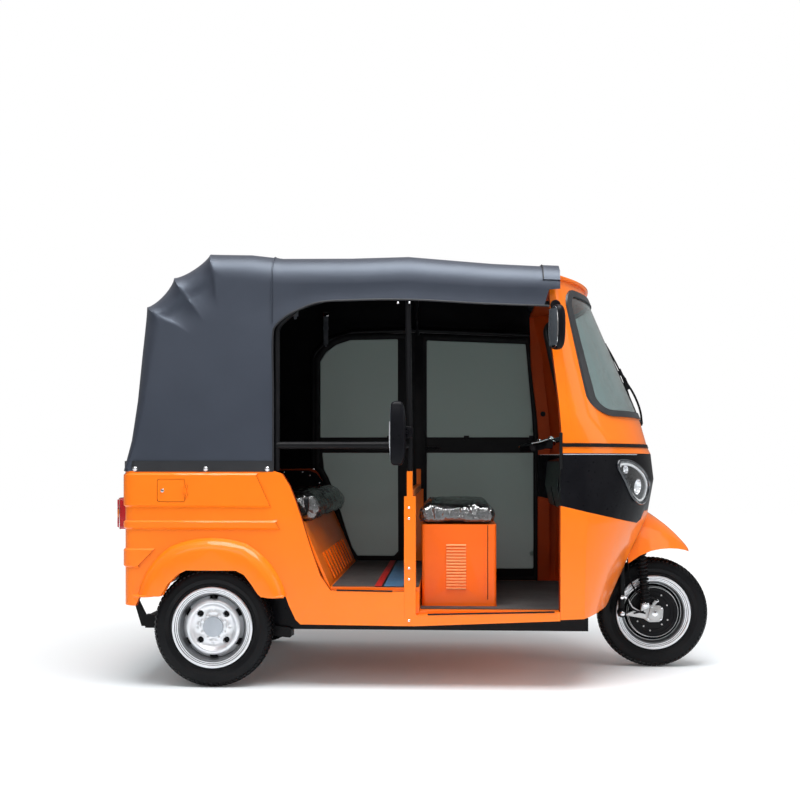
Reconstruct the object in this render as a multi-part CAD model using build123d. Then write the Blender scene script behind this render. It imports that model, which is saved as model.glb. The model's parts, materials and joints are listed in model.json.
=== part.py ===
from build123d import *
import math
import os

# Three-wheeled auto rickshaw: open steel cab on a rail frame, folding vinyl
# canopy on tube bows, two glazed doors on the left, leading-link front fork.
# +X forward, +Y to the left, +Z up, millimetres. Stations along X are counted
# from the rear axle; every piece is shifted at the end so that the origin lies
# on the ground below the middle of the overall length.

# ---- overall ---------------------------------------------------------------
WHEELBASE = 2000.0        # rear axle to front axle
TRACK = 1116.0            # between the rear wheels' centre planes
TYRE_R = 261.0            # tread radius, a 4.00-12 tyre
TYRE_W = 104.0
RIM_R = 176.0             # rim flange radius
BEAD_R = 156.0
TAIL_X = -442.0           # rearmost face, the tail lamps
SIDE_Y = 626.5            # outer face of the body sides
SIDE_T = 30.0             # whole thickness of a double-skinned side
REAR_X = -387.0           # outer face of the rear panel
REAR_T = 26.0
CORNER_R = 46.0           # rear corners in plan
BELT_Z = 940.5            # top edge of the body, where the canopy starts
GAP = 3.0                 # shut line between panels
FIT = 0.3                 # clearance between seated pieces of different bodies
RUN = 0.05                # radial clearance of a running fit
SHEET = 12.0              # folded floor and box panels
MID_X = (WHEELBASE + TYRE_R + TAIL_X) / 2

# ---- floors and seats ------------------------------------------------------
FLOOR_Y = 590.0           # half width of the floor pan
FRONT_FLOOR_Z = 339.0     # driver's floor
REAR_FLOOR_Z = 439.0      # passengers' floor
STEP_X = 900.0            # where the floor steps down
TOE_X = 1700.0            # toe board
TOE_Z = 700.0
RISER_X = 515.0           # foot of the passenger seat's riser
RISER_LEAN = 119.0        # how far the riser leans back to its top
SEAT_Z = 717.0            # seat pan of the passenger bench
SEAT_REAR_X = -60.0
MAT_T = 4.0
BOX_X0, BOX_X1 = 907.0, 1236.0     # driver's seat box
BOX_Y = 465.0
BOX_Z = 703.0
DRIVER_CUSHION_T = 78.0
BENCH_CUSHION_T = 112.0
BENCH_Y = 545.0           # half width of the passenger bench
BENCH_FRONT = 66.0        # the bench cushion's reach past its pan
BACK_T = 90.0
BACK_H = 430.0

# ---- frame -----------------------------------------------------------------
RAIL_Y = 430.0
RAIL_W = 44.0
RAIL_H = 58.0
RAIL_Z = 233.0            # underside of the rails
TUBE_D = 25.0             # canopy tubes
POST_X0, POST_X1 = 835.0, 885.0    # B post
POST_Z = 832.0
POST_D = 46.0             # its depth across the car
BOW_Y = 600.0             # canopy side tubes
CANOPY_T = 9.0
CANOPY_FRONT = 1517.0
HEM_FRONT = 1462.0        # front edge of the canopy's sides
HEM_X = 270.0             # rear edge of the door openings in the canopy

# ---- front -----------------------------------------------------------------
COWL_T = 13.0             # cowl panels
PILLAR_W = 62.0           # A pillar along the car
PILLAR_D = 66.0           # and across it
COWL_TOP = 1768.0
SEAM_Z = 1017.0           # upper cowl meets the mask
GLASS_T = 5.0
SEAL_W = 14.0             # seal lip either side of the window cut
SEAL_T = 7.0
RAKE = 23.8               # steering axis leans back from the vertical
AXIS_X, AXIS_Z = 1990.0, 270.0     # a point of the steering axis
COLUMN_D = 32.0
CROWN_Z = 585.0
LEG_Y = 90.0
LEG_D = 30.0
SPRING_Y = 102.0
LINK_X = 1841.0           # leading-link pivot
LINK_Z = 265.0
SPRING_D = 45.0
FORK_AXLE_D = 16.0
SPINDLE_D = 24.0

os.makedirs("parts", exist_ok=True)


# ---- helpers ---------------------------------------------------------------
def place(u, v, w, plane):
    return {"XZ": (u, w, v), "XY": (u, v, w), "YZ": (w, u, v)}[plane]


def face_of(points, radius=0, plane="XZ", at=0.0):
    corners = [place(u, v, at, plane) for u, v in points]
    if radius == 0:
        return Face(Wire.make_polygon([Vector(*c) for c in corners], close=True))
    return make_face(FilletPolyline(*corners, radius=radius, close=True).edges()).faces()[0]


def prism(points, low, high, radius=0, plane="XZ"):
    face = face_of(points, radius, plane, low)
    return Solid.extrude(face, Vector(*place(0, 0, high - low, plane)))


def block(x0, x1, y0, y1, z0, z1):
    return prism([(x0, z0), (x1, z0), (x1, z1), (x0, z1)], y0, y1)


def rounded(x0, x1, z0, z1, r):
    return [(x0, z0), (x1, z0), (x1, z1), (x0, z1)], r


def pipe(points, diameter, bend=0.0):
    if len(points) > 2 and bend:
        path = FilletPolyline(*points, radius=bend)
    else:
        path = Polyline(*points)
    profile = Plane(origin=path @ 0, z_dir=path % 0) * Circle(diameter / 2)
    return sweep(profile, path=path).solids()[0]


def rod(start, end, diameter):
    start, end = Vector(*start), Vector(*end)
    along = end - start
    return Solid.make_cylinder(diameter / 2, along.length, Plane(origin=start, z_dir=along))


def join(*shapes):
    whole = Part()
    for shape in shapes:
        whole += shape
    return whole


def mirrored(shape):
    return mirror(shape, about=Plane.XZ)


def both(shape):
    return join(shape, mirrored(shape))


def across(shape, low, high):
    """Keeps the part of shape between two values of Y."""
    return shape & block(-2000, 4000, low, high, -500, 3000)


NODES = []


def write(name, shape):
    export_step(shape.moved(Location((-MID_X, 0, 0))), f"parts/{name}.step")
    NODES.append((name, shape))
    print(name, len(shape.solids()), round(shape.volume / 1000), "cm3")


# ---- wheels ----------------------------------------------------------------
TREAD = [(0.0, TYRE_R), (0.35 * TYRE_W, TYRE_R - 5), (0.455 * TYRE_W, TYRE_R - 18),
         (0.5 * TYRE_W, TYRE_R - 48), (0.48 * TYRE_W, RIM_R + 14), (0.39 * TYRE_W, RIM_R + 2),
         (0.39 * TYRE_W, BEAD_R), (0.31 * TYRE_W, BEAD_R), (0.41 * TYRE_W, TYRE_R - 52),
         (0.33 * TYRE_W, TYRE_R - 22), (0.0, TYRE_R - 16)]
RIM_HALF = 0.39 * TYRE_W + FIT
BARREL = [(RIM_HALF + 4, RIM_R), (RIM_HALF, RIM_R), (RIM_HALF, BEAD_R - FIT),
          (24, BEAD_R - 4), (12, BEAD_R - 15), (-12, BEAD_R - 15), (-24, BEAD_R - 4),
          (-RIM_HALF, BEAD_R - FIT), (-RIM_HALF, RIM_R), (-RIM_HALF - 4, RIM_R),
          (-RIM_HALF - 2, BEAD_R - 6), (-26, BEAD_R - 9), (-13, BEAD_R - 20),
          (13, BEAD_R - 20), (26, BEAD_R - 9), (RIM_HALF + 2, BEAD_R - 6)]
DISC = [(6, BEAD_R - 18), (12, BEAD_R - 18), (30, 118), (33, 100), (20, 84), (17, 46), (29, 38),
        (31, 0), (-10, 0), (-10, 30), (11, 44), (14, 88), (27, 103), (24, 116)]
WHEEL_HOLES = 4
WHEEL_SLOTS = 6
DRUM_R = 88.0
DRUM_W = 40.0


def ring(profile, axis_x, axis_y, side=1):
    """Revolves a (y, radius) profile about a wheel's axis."""
    face = Face(Wire.make_polygon([Vector(0, side * u, v) for u, v in profile], close=True))
    turned = revolve(face, axis=Axis((0, 0, 0), (0, 1, 0)), revolution_arc=360)
    return turned.moved(Location((axis_x, axis_y, TYRE_R)))


def tyre_profile():
    left = [(-u, v) for u, v in reversed(TREAD[1:-1])]
    return TREAD + left


def rim(axis_x, axis_y, side, bore_d, through):
    wheel = join(ring(BARREL, axis_x, axis_y, side), ring(DISC, axis_x, axis_y, side))
    wheel += ring([(-DRUM_W, 0), (-DRUM_W, DRUM_R), (16, DRUM_R - 6), (16, 0)], axis_x, axis_y, side)
    for k in range(WHEEL_SLOTS):
        a = math.radians(360 / WHEEL_SLOTS * k)
        u, v = axis_x + 128 * math.cos(a), TYRE_R + 128 * math.sin(a)
        slot = prism([(u - 17, v - 5), (u + 17, v - 5), (u + 17, v + 5), (u - 17, v + 5)],
                     axis_y - 60, axis_y + 60)
        wheel -= slot.rotate(Axis((u, axis_y, v), (0, 1, 0)), 90 - 360 / WHEEL_SLOTS * k)
    for k in range(WHEEL_HOLES):
        a = math.radians(45 + 360 / WHEEL_HOLES * k)
        u, v = axis_x + 62 * math.cos(a), TYRE_R + 62 * math.sin(a)
        wheel -= rod((u, axis_y + side * 10, v), (u, axis_y + side * 60, v), 27)
    reach = 60 if through else -2
    return wheel - rod((axis_x, axis_y - side * 80, TYRE_R), (axis_x, axis_y + side * reach, TYRE_R),
                       bore_d + 2 * RUN)


for name, x, y, side, bore, through in [
    ("front", WHEELBASE, 0.0, -1, FORK_AXLE_D, True),
    ("rear_right", 0.0, -TRACK / 2, -1, SPINDLE_D, False),
    ("rear_left", 0.0, TRACK / 2, 1, SPINDLE_D, False),
]:
    write(f"{name}_tyre", ring(tyre_profile(), x, y))
    write(f"{name}_rim", rim(x, y, side, bore, through))

# ---- chassis ---------------------------------------------------------------
POWER_X0, POWER_X1, POWER_Y, POWER_Z0, POWER_Z1 = -210.0, 190.0, 190.0, 180.0, 430.0
RAIL_X0, RAIL_X1 = -340.0, TOE_X - 60
rails = [block(RAIL_X0, RAIL_X1, s * RAIL_Y - RAIL_W / 2, s * RAIL_Y + RAIL_W / 2, RAIL_Z, RAIL_Z + RAIL_H)
         for s in (-1, 1)]
BEARER_Z = FRONT_FLOOR_Z - SHEET - FIT        # top of the bearers under the floor
crosses = [block(x, x + RAIL_W, -RAIL_Y, RAIL_Y, RAIL_Z + 6, top)
           for x, top in ((RAIL_X0, RAIL_Z + RAIL_H - 6), (330.0, RAIL_Z + RAIL_H - 6), (STEP_X + 6, BEARER_Z),
                          (RAIL_X1 - RAIL_W, BEARER_Z))]
crosses += [block(POWER_X1 + FIT, POWER_X1 + 40, -RAIL_Y, RAIL_Y, RAIL_Z + 6, RAIL_Z + RAIL_H - 6),
            block(RAIL_X0, POWER_X0 - FIT, -34, 34, RAIL_Z + 10, RAIL_Z + RAIL_H - 10)]
# neck of the frame that carries the steering head
slope = math.tan(math.radians(RAKE))


def axis_at(z):
    return AXIS_X - (z - AXIS_Z) * slope


HEAD_Z0, HEAD_Z1 = 640.0, 900.0
head = rod((axis_at(HEAD_Z0), 0, HEAD_Z0), (axis_at(HEAD_Z1), 0, HEAD_Z1), COLUMN_D + 20)
head -= rod((axis_at(HEAD_Z0 - 50), 0, HEAD_Z0 - 50), (axis_at(HEAD_Z1 + 50), 0, HEAD_Z1 + 50),
            COLUMN_D + 2 * RUN)
NECK_Y = 22.0
neck = [block(RAIL_X1 - RAIL_W, RAIL_X1, -NECK_Y, NECK_Y, RAIL_Z + 6, 860),
        block(RAIL_X1 - 10, axis_at(780) - COLUMN_D / 2 - 4, -20, 20, 770, 850)]
neck_room = block(RAIL_X1 - RAIL_W - 1, RAIL_X1 + 1, -NECK_Y - 1, NECK_Y + 1, RAIL_Z, 861)
bore = rod((axis_at(500), 0, 500), (axis_at(1000), 0, 1000), COLUMN_D + 2 * RUN)
arms_brackets = [block(282, 330, s * RAIL_Y - 12, s * RAIL_Y + 12, RAIL_Z - 30, RAIL_Z + 6) for s in (-1, 1)]
tow_eye = prism([(RAIL_X0 - 50, -25), (RAIL_X0 + 6, -25), (RAIL_X0 + 6, 25), (RAIL_X0 - 50, 25)],
                RAIL_Z + 21, RAIL_Z + 37, radius=[24, 0, 0, 24], plane="XY")
TOW_X, TOW_Z, TOW_D = RAIL_X0 - 25, RAIL_Z + 29, 22.0
tow_eye -= rod((TOW_X, 0, TOW_Z - 30), (TOW_X, 0, TOW_Z + 30), TOW_D)
chassis = join(*rails, *crosses, head, *neck, *arms_brackets, tow_eye) - bore
PIVOT_X, PIVOT_Z = 306.0, RAIL_Z - 12.0
for s in (-1, 1):
    chassis -= rod((PIVOT_X, s * RAIL_Y - 30, PIVOT_Z), (PIVOT_X, s * RAIL_Y + 30, PIVOT_Z), 16)
write("chassis_frame", chassis)

# trailing arms with their spindles and dampers
arms = []
for s in (-1, 1):
    arm_y = s * (RAIL_Y + RAIL_W / 2 + 24)
    arm = prism([(PIVOT_X + 24, PIVOT_Z - 22), (PIVOT_X + 24, PIVOT_Z + 22), (30, TYRE_R + 26),
                 (-34, TYRE_R + 26), (-34, TYRE_R - 26), (30, TYRE_R - 26)],
                arm_y - 13, arm_y + 13, radius=12)
    hub_face = s * (TRACK / 2 - DRUM_W - FIT)
    arm += rod((0, arm_y, TYRE_R), (0, s * (TRACK / 2 - 4), TYRE_R), SPINDLE_D)
    arm += rod((0, arm_y, TYRE_R), (0, hub_face, TYRE_R), 52)
    arm += rod((PIVOT_X, s * (RAIL_Y - 26), PIVOT_Z), (PIVOT_X, arm_y, PIVOT_Z), 16)
    arms.append(arm)
write("rear_suspension", join(*arms))

write("powertrain", prism([(POWER_X0, POWER_Z0), (POWER_X1, POWER_Z0), (POWER_X1, POWER_Z1),
                           (POWER_X0, POWER_Z1)], -POWER_Y, POWER_Y, radius=36))

# ---- cowl ------------------------------------------------------------------
# plan sections of the nose: height, half width, where the side ends, the
# corner between side and front, and the nose on the centre line
COWL = [
    (290, 624.0, 1600, 1665, 520, 1757),
    (720, SIDE_Y, 1610, 1775, 490, 1965),
    (900, SIDE_Y, 1590, 1800, 482, 1998),
    (1016, SIDE_Y, 1570, 1752, 520, 1984),
    (1050, SIDE_Y, 1560, 1735, 532, 1967),
    (1180, SIDE_Y, 1535, 1628, 572, 1931),
    (COWL_TOP, 574.0, 1478, 1514, 530, 1672),
]
COWL_REAR = 1440.0


def cowl_section(z, w, xs, xc, yc, xn, off, extend):
    w, xs, xc, yc, xn = w + off, xs + off * 0.4, xc + off * 0.8, yc + off * 0.6, xn + off
    rear = COWL_REAR - extend
    mx, my = (xs + xc) / 2 + (w - yc) * 0.05, (w + yc) / 2 + (xc - xs) * 0.05      # the corner bulges a little
    edges = [
        Line((rear, w, z), (rear, -w, z)),
        Line((rear, -w, z), (xs, -w, z)),
        ThreePointArc((xs, -w, z), (mx, -my, z), (xc, -yc, z)),
        ThreePointArc((xc, -yc, z), (xn, 0, z), (xc, yc, z)),
        ThreePointArc((xc, yc, z), (mx, my, z), (xs, w, z)),
        Line((xs, w, z), (rear, w, z)),
    ]
    return Wire([e.edge() for e in edges])


def beyond(near, far, z):
    """Runs the line from row far through row near on to the height z."""
    t = (z - near[0]) / (far[0] - near[0])
    return tuple(a + (b - a) * t for a, b in zip(near, far))


def cowl_solid(off=0.0, extend=0.0, low=None, high=None):
    rows = list(COWL)
    if low is not None:
        rows[0] = beyond(COWL[0], COWL[1], low)
    if high is not None:
        rows[-1] = beyond(COWL[-1], COWL[-2], high)
    return Solid.make_loft([cowl_section(*row, off, extend) for row in rows], ruled=True)



# ---- floor pan and seat riser ----------------------------------------------
RISER_TOP = RISER_X - RISER_LEAN
PAN_Y = SIDE_Y - SIDE_T - FIT
PAN_REAR_X = SEAT_REAR_X - BACK_T - 24
floor_line = [(TOE_X + SHEET, TOE_Z), (TOE_X, TOE_Z), (TOE_X, FRONT_FLOOR_Z), (STEP_X, FRONT_FLOOR_Z),
              (STEP_X, REAR_FLOOR_Z), (RISER_X, REAR_FLOOR_Z), (RISER_TOP, SEAT_Z), (PAN_REAR_X, SEAT_Z),
              (PAN_REAR_X, SEAT_Z - SHEET), (RISER_TOP - 8, SEAT_Z - SHEET), (RISER_X - 8, REAR_FLOOR_Z - SHEET),
              (STEP_X - SHEET, REAR_FLOOR_Z - SHEET), (STEP_X - SHEET, FRONT_FLOOR_Z - SHEET),
              (TOE_X + SHEET, FRONT_FLOOR_Z - SHEET)]
floor = prism(floor_line, -PAN_Y, PAN_Y)
# ribs pressed into the riser
for k in range(9):
    y = -400 + 100 * k
    floor += prism([(RISER_X - 1, REAR_FLOOR_Z + 14), (RISER_X + 2, REAR_FLOOR_Z + 22),
                    (RISER_X - 49, REAR_FLOOR_Z + 134), (RISER_X - 58, REAR_FLOOR_Z + 134)], y - 12, y + 12)
JAMB_X = 1493.0           # rear edge of the front posts at the floor
jamb_y = SIDE_Y - PILLAR_D - 2.6
post_room = block(POST_X0 - 0.5, POST_X1 + 0.5, SIDE_Y - POST_D - 0.5, SIDE_Y, 200, 1000)
floor = floor - block(JAMB_X, 1900, jamb_y, 700, 300, 800) - block(JAMB_X, 1900, -700, -jamb_y, 300, 800)
floor = floor - neck_room - both(post_room)
write("floor_pan", (floor - block(1610, 1900, -800, 800, 0, 900)) + (floor & cowl_solid(-COWL_T - 0.5, -100, 200) & block(1609, 1900, -800, 800, 0, 900)))
mats = [block(STEP_X + 2, TOE_X - 60, -jamb_y + 16, jamb_y - 16, FRONT_FLOOR_Z, FRONT_FLOOR_Z + MAT_T)
        - block(BOX_X0 - 4, BOX_X1 + 4, -BOX_Y - 4, BOX_Y + 4, 0, 900) - neck_room,
        block(RISER_X + 6, STEP_X - 4, -PAN_Y + 20, PAN_Y - 20, REAR_FLOOR_Z, REAR_FLOOR_Z + MAT_T)]
write("floor_mats", join(*mats))

# ---- body sides ------------------------------------------------------------
SILL_Z = 280.0
opening = [(276, BELT_Z + 10), (311, 928), (342, 877), (360, 832), (399, 719), (434, 606), (474, 492),
           (518, 428), (POST_X0, 424)]
arch = [(-222, 300), (-217, 399), (-208, 404), (-179, 454), (-136, 497), (-100, 515), (116, 515),
        (152, 497), (184, 456), (209, 418), (223, 404), (240, 300)]
side_outline = ([(REAR_X, BELT_Z), (276, BELT_Z)] + opening[1:] +
                [(POST_X0, 277), (517, SILL_Z), (389, SILL_Z + 1), (368, 300), (339, 361), (325, 400),
                 (223, 404)] + arch[9:5:-1] + [arch[5]] + arch[4:1:-1] +
                [(-217, 399), (-312, 399), (-330, 356), (REAR_X, 359)])


def side_band(y_out, wall):
    """Plan band of one body side with its rounded rear corner."""
    r = CORNER_R
    outer = [(POST_X0, -y_out), (POST_X0, -y_out + wall), (REAR_X + r, -y_out + wall),
             (REAR_X + wall, -y_out + r), (REAR_X, -y_out + r), (REAR_X, -y_out)]
    return prism(outer, 200, 1000, radius=[0, 0, r - wall if r > wall else 0, 0, 0, r], plane="XY")


def side_panel():
    r = CORNER_R
    plan = [(POST_X0, -SIDE_Y), (POST_X0, -SIDE_Y + SIDE_T), (REAR_X + REAR_T, -SIDE_Y + SIDE_T),
            (REAR_X + REAR_T, -SIDE_Y + r + 10), (REAR_X, -SIDE_Y + r + 10), (REAR_X, -SIDE_Y)]
    band = prism(plan, 200, 1000, radius=[0, 0, 8, 0, 0, r], plane="XY")
    panel = band & prism(side_outline, -SIDE_Y - 5, -SIDE_Y + r + 40)
    # pressed panels that stand proud of the skin and run round the rear corner
    for z0, z1, low_x, high_x in [(784, 932, 256, 197), (688, 728, 296, 281), (522, 606, -318, -252)]:
        panel += raised(z0, z1, low_x, high_x)
    return panel


RAISE = 8.0


def raised(z0, z1, low_x, high_x):
    """A pressed band from z0 to z1 with sloping edges; its front end runs from low_x to high_x."""
    wires = []
    for z, off, x in [(z0, 0.0, low_x + RAISE), (z0 + RAISE, RAISE, low_x), (z1 - RAISE, RAISE, high_x),
                      (z1, 0.0, high_x + RAISE)]:
        y, r = -SIDE_Y - off, CORNER_R + off
        cx, cy = REAR_X + CORNER_R, -SIDE_Y + CORNER_R
        rear = REAR_X - off
        bend = (cx - r * math.sqrt(0.5), cy - r * math.sqrt(0.5), z)
        edges = [Line((x, y, z), (cx, y, z)), ThreePointArc((cx, y, z), bend, (rear, cy, z)),
                 Line((rear, cy, z), (rear, cy + 10, z)), Line((rear, cy + 10, z), (REAR_X + 4, cy + 10, z)),
                 Line((REAR_X + 4, cy + 10, z), (cx, -SIDE_Y + 4, z)), Line((cx, -SIDE_Y + 4, z), (x, -SIDE_Y + 4, z)),
                 Line((x, -SIDE_Y + 4, z), (x, y, z))]
        wires.append(Wire([e.edge() for e in edges]))
    return Solid.make_loft(wires, ruled=True)


ARCH_SKIN = 10.0
wheel_room = rod((0, -SIDE_Y + ARCH_SKIN, TYRE_R), (0, -400, TYRE_R), 2 * (TYRE_R + 24))
LID = (-234.0, -111.0, 807.0, 906.0)     # filler lid: x0, x1, z0, z1
LID_T = 3.0
right = side_panel() - wheel_room
left = mirrored(right)
lid_out = SIDE_Y + RAISE
right -= prism([(LID[0], LID[2]), (LID[1], LID[2]), (LID[1], LID[3]), (LID[0], LID[3])],
               -lid_out - 5, -lid_out + 22, radius=9)
LID_PIN_X, LID_PIN_Y = LID[1] + 1.0, -lid_out - 3.2
lid_mid = (LID[2] + LID[3]) / 2
for side in (-1, 1):
    ends = sorted((lid_mid + side * 10.3, lid_mid + side * 24))
    right += rod((LID_PIN_X, LID_PIN_Y, ends[0]), (LID_PIN_X, LID_PIN_Y, ends[1]), 6)
    right += block(LID_PIN_X, LID_PIN_X + 10, LID_PIN_Y - 1, -lid_out + 3, *ends)
right += rod((LID_PIN_X, LID_PIN_Y, lid_mid - 24), (LID_PIN_X, LID_PIN_Y, lid_mid + 24), 3)
write("side_panel_right", right)
write("side_panel_left", left)
lid_shape = prism([(LID[0] + 2, LID[2] + 2), (LID[1] - 2, LID[2] + 2), (LID[1] - 2, LID[3] - 2),
                   (LID[0] + 2, LID[3] - 2)], -lid_out, -lid_out + LID_T, radius=8)
lid_shape += rod((LID[0] + 24, -lid_out + 12, (LID[2] + LID[3]) / 2), (LID[0] + 24, -lid_out - 3, (LID[2] + LID[3]) / 2), 14)
lid_shape += join(rod((LID_PIN_X, LID_PIN_Y, lid_mid - 10), (LID_PIN_X, LID_PIN_Y, lid_mid + 10), 6),
                  block(LID_PIN_X - 12, LID_PIN_X - 2, LID_PIN_Y - 1, -lid_out + 1, lid_mid - 10, lid_mid + 10))
lid_shape -= rod((LID_PIN_X, LID_PIN_Y, lid_mid - 30), (LID_PIN_X, LID_PIN_Y, lid_mid + 30), 3 + 2 * RUN)
write("filler_lid", lid_shape)

# wide fender flares over the rear wheels: each outline is three arcs over the wheel
arch_cut = [(-222, 300), (-218, 402), (-208, 404)] + arch[3:9] + [(209, 418), (223, 404), (232, 300)]
FLARES = [   # distance outside the skin, then the seven points that the three arcs run through
    (0.0, [(-318, 402), (-264, 533), (-172, 618), (-8, 653), (156, 628), (264, 536), (328, 402)]),
    (22.0, [(-308, 402), (-256, 527), (-167, 608), (-8, 643), (151, 618), (256, 529), (318, 402)]),
    (38.0, [(-292, 402), (-242, 516), (-158, 592), (-8, 626), (142, 602), (242, 517), (302, 402)]),
    (46.0, [(-266, 402), (-221, 498), (-145, 566), (-8, 598), (130, 576), (221, 499), (276, 402)]),
]


def flare_wire(points, y, lower=0.0, scale=1.0):
    p = [(x * scale, y, z - lower) for x, z in points]
    edges = [ThreePointArc(p[0], p[1], p[2]), ThreePointArc(p[2], p[3], p[4]), ThreePointArc(p[4], p[5], p[6]),
             Line(p[6], p[0])]
    return Wire([e.edge() for e in edges])


flare = Solid.make_loft([flare_wire(points, -SIDE_Y - off) for off, points in FLARES], ruled=True)
flare -= prism(arch_cut, -SIDE_Y - 100, -SIDE_Y + 40)
# hollow behind the flare's skin, open towards the wheel
flare -= Solid.make_loft([flare_wire(FLARES[0][1], -SIDE_Y + 0.01, 13, 0.955),
                          flare_wire(FLARES[1][1], -SIDE_Y - 14, 13, 0.955),
                          flare_wire(FLARES[2][1], -SIDE_Y - 34, 13, 0.95)], ruled=True)
write("rear_fenders", both(flare))

# ---- rear panel and hatch --------------------------------------------------
HATCH_Y, HATCH_Z0, HATCH_Z1 = 400.0, 500.0, 880.0
PLATE_Z = 452.0
rear_y = SIDE_Y - CORNER_R - 10 - 0.5
rear = block(REAR_X, REAR_X + REAR_T, -rear_y, rear_y, 400, BELT_Z)
rear -= prism([(-HATCH_Y, HATCH_Z0), (HATCH_Y, HATCH_Z0), (HATCH_Y, HATCH_Z1), (-HATCH_Y, HATCH_Z1)],
              REAR_X - 20, REAR_X + 60, radius=30, plane="YZ")
hatch = prism([(-HATCH_Y + GAP, HATCH_Z0 + GAP), (HATCH_Y - GAP, HATCH_Z0 + GAP), (HATCH_Y - GAP, HATCH_Z1 - GAP),
               (-HATCH_Y + GAP, HATCH_Z1 - GAP)], REAR_X, REAR_X + 16, radius=28, plane="YZ")
for z in (610.0, 690.0, 770.0):
    hatch += extrude(face_of([(-300, z - 16), (300, z - 16), (300, z + 16), (-300, z + 16)], 14, "YZ", REAR_X),
                     amount=5, dir=(-1, 0, 0), taper=35)
hatch += rod((REAR_X + 4, 0, HATCH_Z0 + 50), (REAR_X - 6, 0, HATCH_Z0 + 50), 26)
HATCH_PIN_X, HATCH_PIN_Z = REAR_X - 5.3, HATCH_Z1 + 2
for y in (-280.0, 280.0):
    pin = rod((HATCH_PIN_X, y - 45, HATCH_PIN_Z), (HATCH_PIN_X, y + 45, HATCH_PIN_Z), 5)
    for side in (-1, 1):
        ends = sorted((y + side * 15.3, y + side * 45))
        rear += rod((HATCH_PIN_X, ends[0], HATCH_PIN_Z), (HATCH_PIN_X, ends[1], HATCH_PIN_Z), 10)
        rear += block(HATCH_PIN_X - 1, REAR_X + 1, *ends, HATCH_PIN_Z, HATCH_PIN_Z + 18)
    rear += pin
    hatch += join(rod((HATCH_PIN_X, y - 15, HATCH_PIN_Z), (HATCH_PIN_X, y + 15, HATCH_PIN_Z), 10),
                  block(HATCH_PIN_X - 1, REAR_X + 1, y - 15, y + 15, HATCH_PIN_Z - 24, HATCH_Z1 - 2)) - rod(
        (HATCH_PIN_X, y - 50, HATCH_PIN_Z), (HATCH_PIN_X, y + 50, HATCH_PIN_Z), 5 + 2 * RUN)
write("rear_panel", rear)
write("rear_hatch", hatch)
BUMPER_D = 30.0
bumper = pipe([(REAR_X + 30, -520, 379), (REAR_X - 6, -470, 379), (REAR_X - 6, 470, 379), (REAR_X + 30, 520, 379)],
              BUMPER_D, 60)
PLATE_T = 3.0
plate = prism([(-115, 400), (115, 400), (115, 480), (-115, 480)], REAR_X - 4 - PLATE_T, REAR_X - 4, radius=8, plane="YZ")
PLATE_PITCH = 180.0
for y in (-PLATE_PITCH / 2, PLATE_PITCH / 2):
    plate -= rod((REAR_X - 20, y, 466), (REAR_X + 10, y, 466), 7)
write("rear_bumper", join(bumper, plate, *[block(REAR_X - 4, REAR_X - FIT, y - 8, y + 8, 402, 440) for y in (-60, 60)],
                          *[prism([(REAR_X - 14, 372), (REAR_X + 4, 372), (RAIL_X0 - FIT, RAIL_Z + 52),
                                   (RAIL_X0 - FIT, RAIL_Z + 6), (RAIL_X0 - 20, RAIL_Z + 6)],
                                  s * RAIL_Y - 10, s * RAIL_Y + 10) for s in (-1, 1)]))
LAMP_Z0, LAMP_Z1, LAMP_Y0, LAMP_Y1 = 682.0, 821.0, 462.0, 538.0
lamp = prism([(-LAMP_Y1, LAMP_Z0), (-LAMP_Y0, LAMP_Z0), (-LAMP_Y0, LAMP_Z1), (-LAMP_Y1, LAMP_Z1)],
             TAIL_X + 10, REAR_X - FIT, radius=12, plane="YZ")
lens = extrude(face_of([(-LAMP_Y1 + 4, LAMP_Z0 + 4), (-LAMP_Y0 - 4, LAMP_Z0 + 4), (-LAMP_Y0 - 4, LAMP_Z1 - 4),
                        (-LAMP_Y1 + 4, LAMP_Z1 - 4)], 12, "YZ", TAIL_X + 10), amount=10, dir=(-1, 0, 0), taper=30)
write("tail_lamps", both(lamp + lens))

# ---- posts and sills -------------------------------------------------------
post = block(POST_X0, POST_X1, -SIDE_Y, -SIDE_Y + POST_D, 277, POST_Z)
post += block(POST_X0 + 12, POST_X0 + 36, -SIDE_Y, -SIDE_Y + POST_D, POST_Z, BELT_Z)
sill = prism([(POST_X1, 277), (1499.6, 303), (1499.6, 341), (POST_X1, 325)], -SIDE_Y, -SIDE_Y + SIDE_T)
beam = block(POST_X0 + 10, POST_X0 + 38, -SIDE_Y + POST_D - 2, SIDE_Y - POST_D + 2, 826, 858)
write("body_posts", join(both(post + sill), beam))

# ---- cowl panels -------------------------------------------------------------
outer = cowl_solid()
inner = cowl_solid(-COWL_T, 60, 250, COWL_TOP - COWL_T)
rear_line = [(1455, 1800), (1464, 1504), (1473, 1421), (1494, 1242), (1504, 1123), (1501, 946), (1500, 200)]
ahead = prism(rear_line + [(2100, 200), (2100, 1800)], -800, 800)
pillar_zone = prism([(x - 5, z) for x, z in rear_line] + [(x + PILLAR_W, z) for x, z in reversed(rear_line)], -800, 800)
pillars = join(*[across(outer & pillar_zone, *sorted((s * (SIDE_Y - PILLAR_D), s * 700))) for s in (-1, 1)])
skin = ((outer - inner) + pillars) & ahead
WINDOW_R = 75.0


def window_prism(grow):
    points = [(-552 - grow, 1194 - grow), (552 + grow, 1194 - grow), (525 + grow, 1722 + grow),
              (-525 - grow, 1722 + grow)]
    return prism(points, 1500, 2100, radius=WINDOW_R + grow, plane="YZ")


skin -= window_prism(0)
skin -= prism([(1400, 200), (1400, 303), (1600, 312), (1680, 328), (1800, 332), (1800, 200)], -800, 800)
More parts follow.
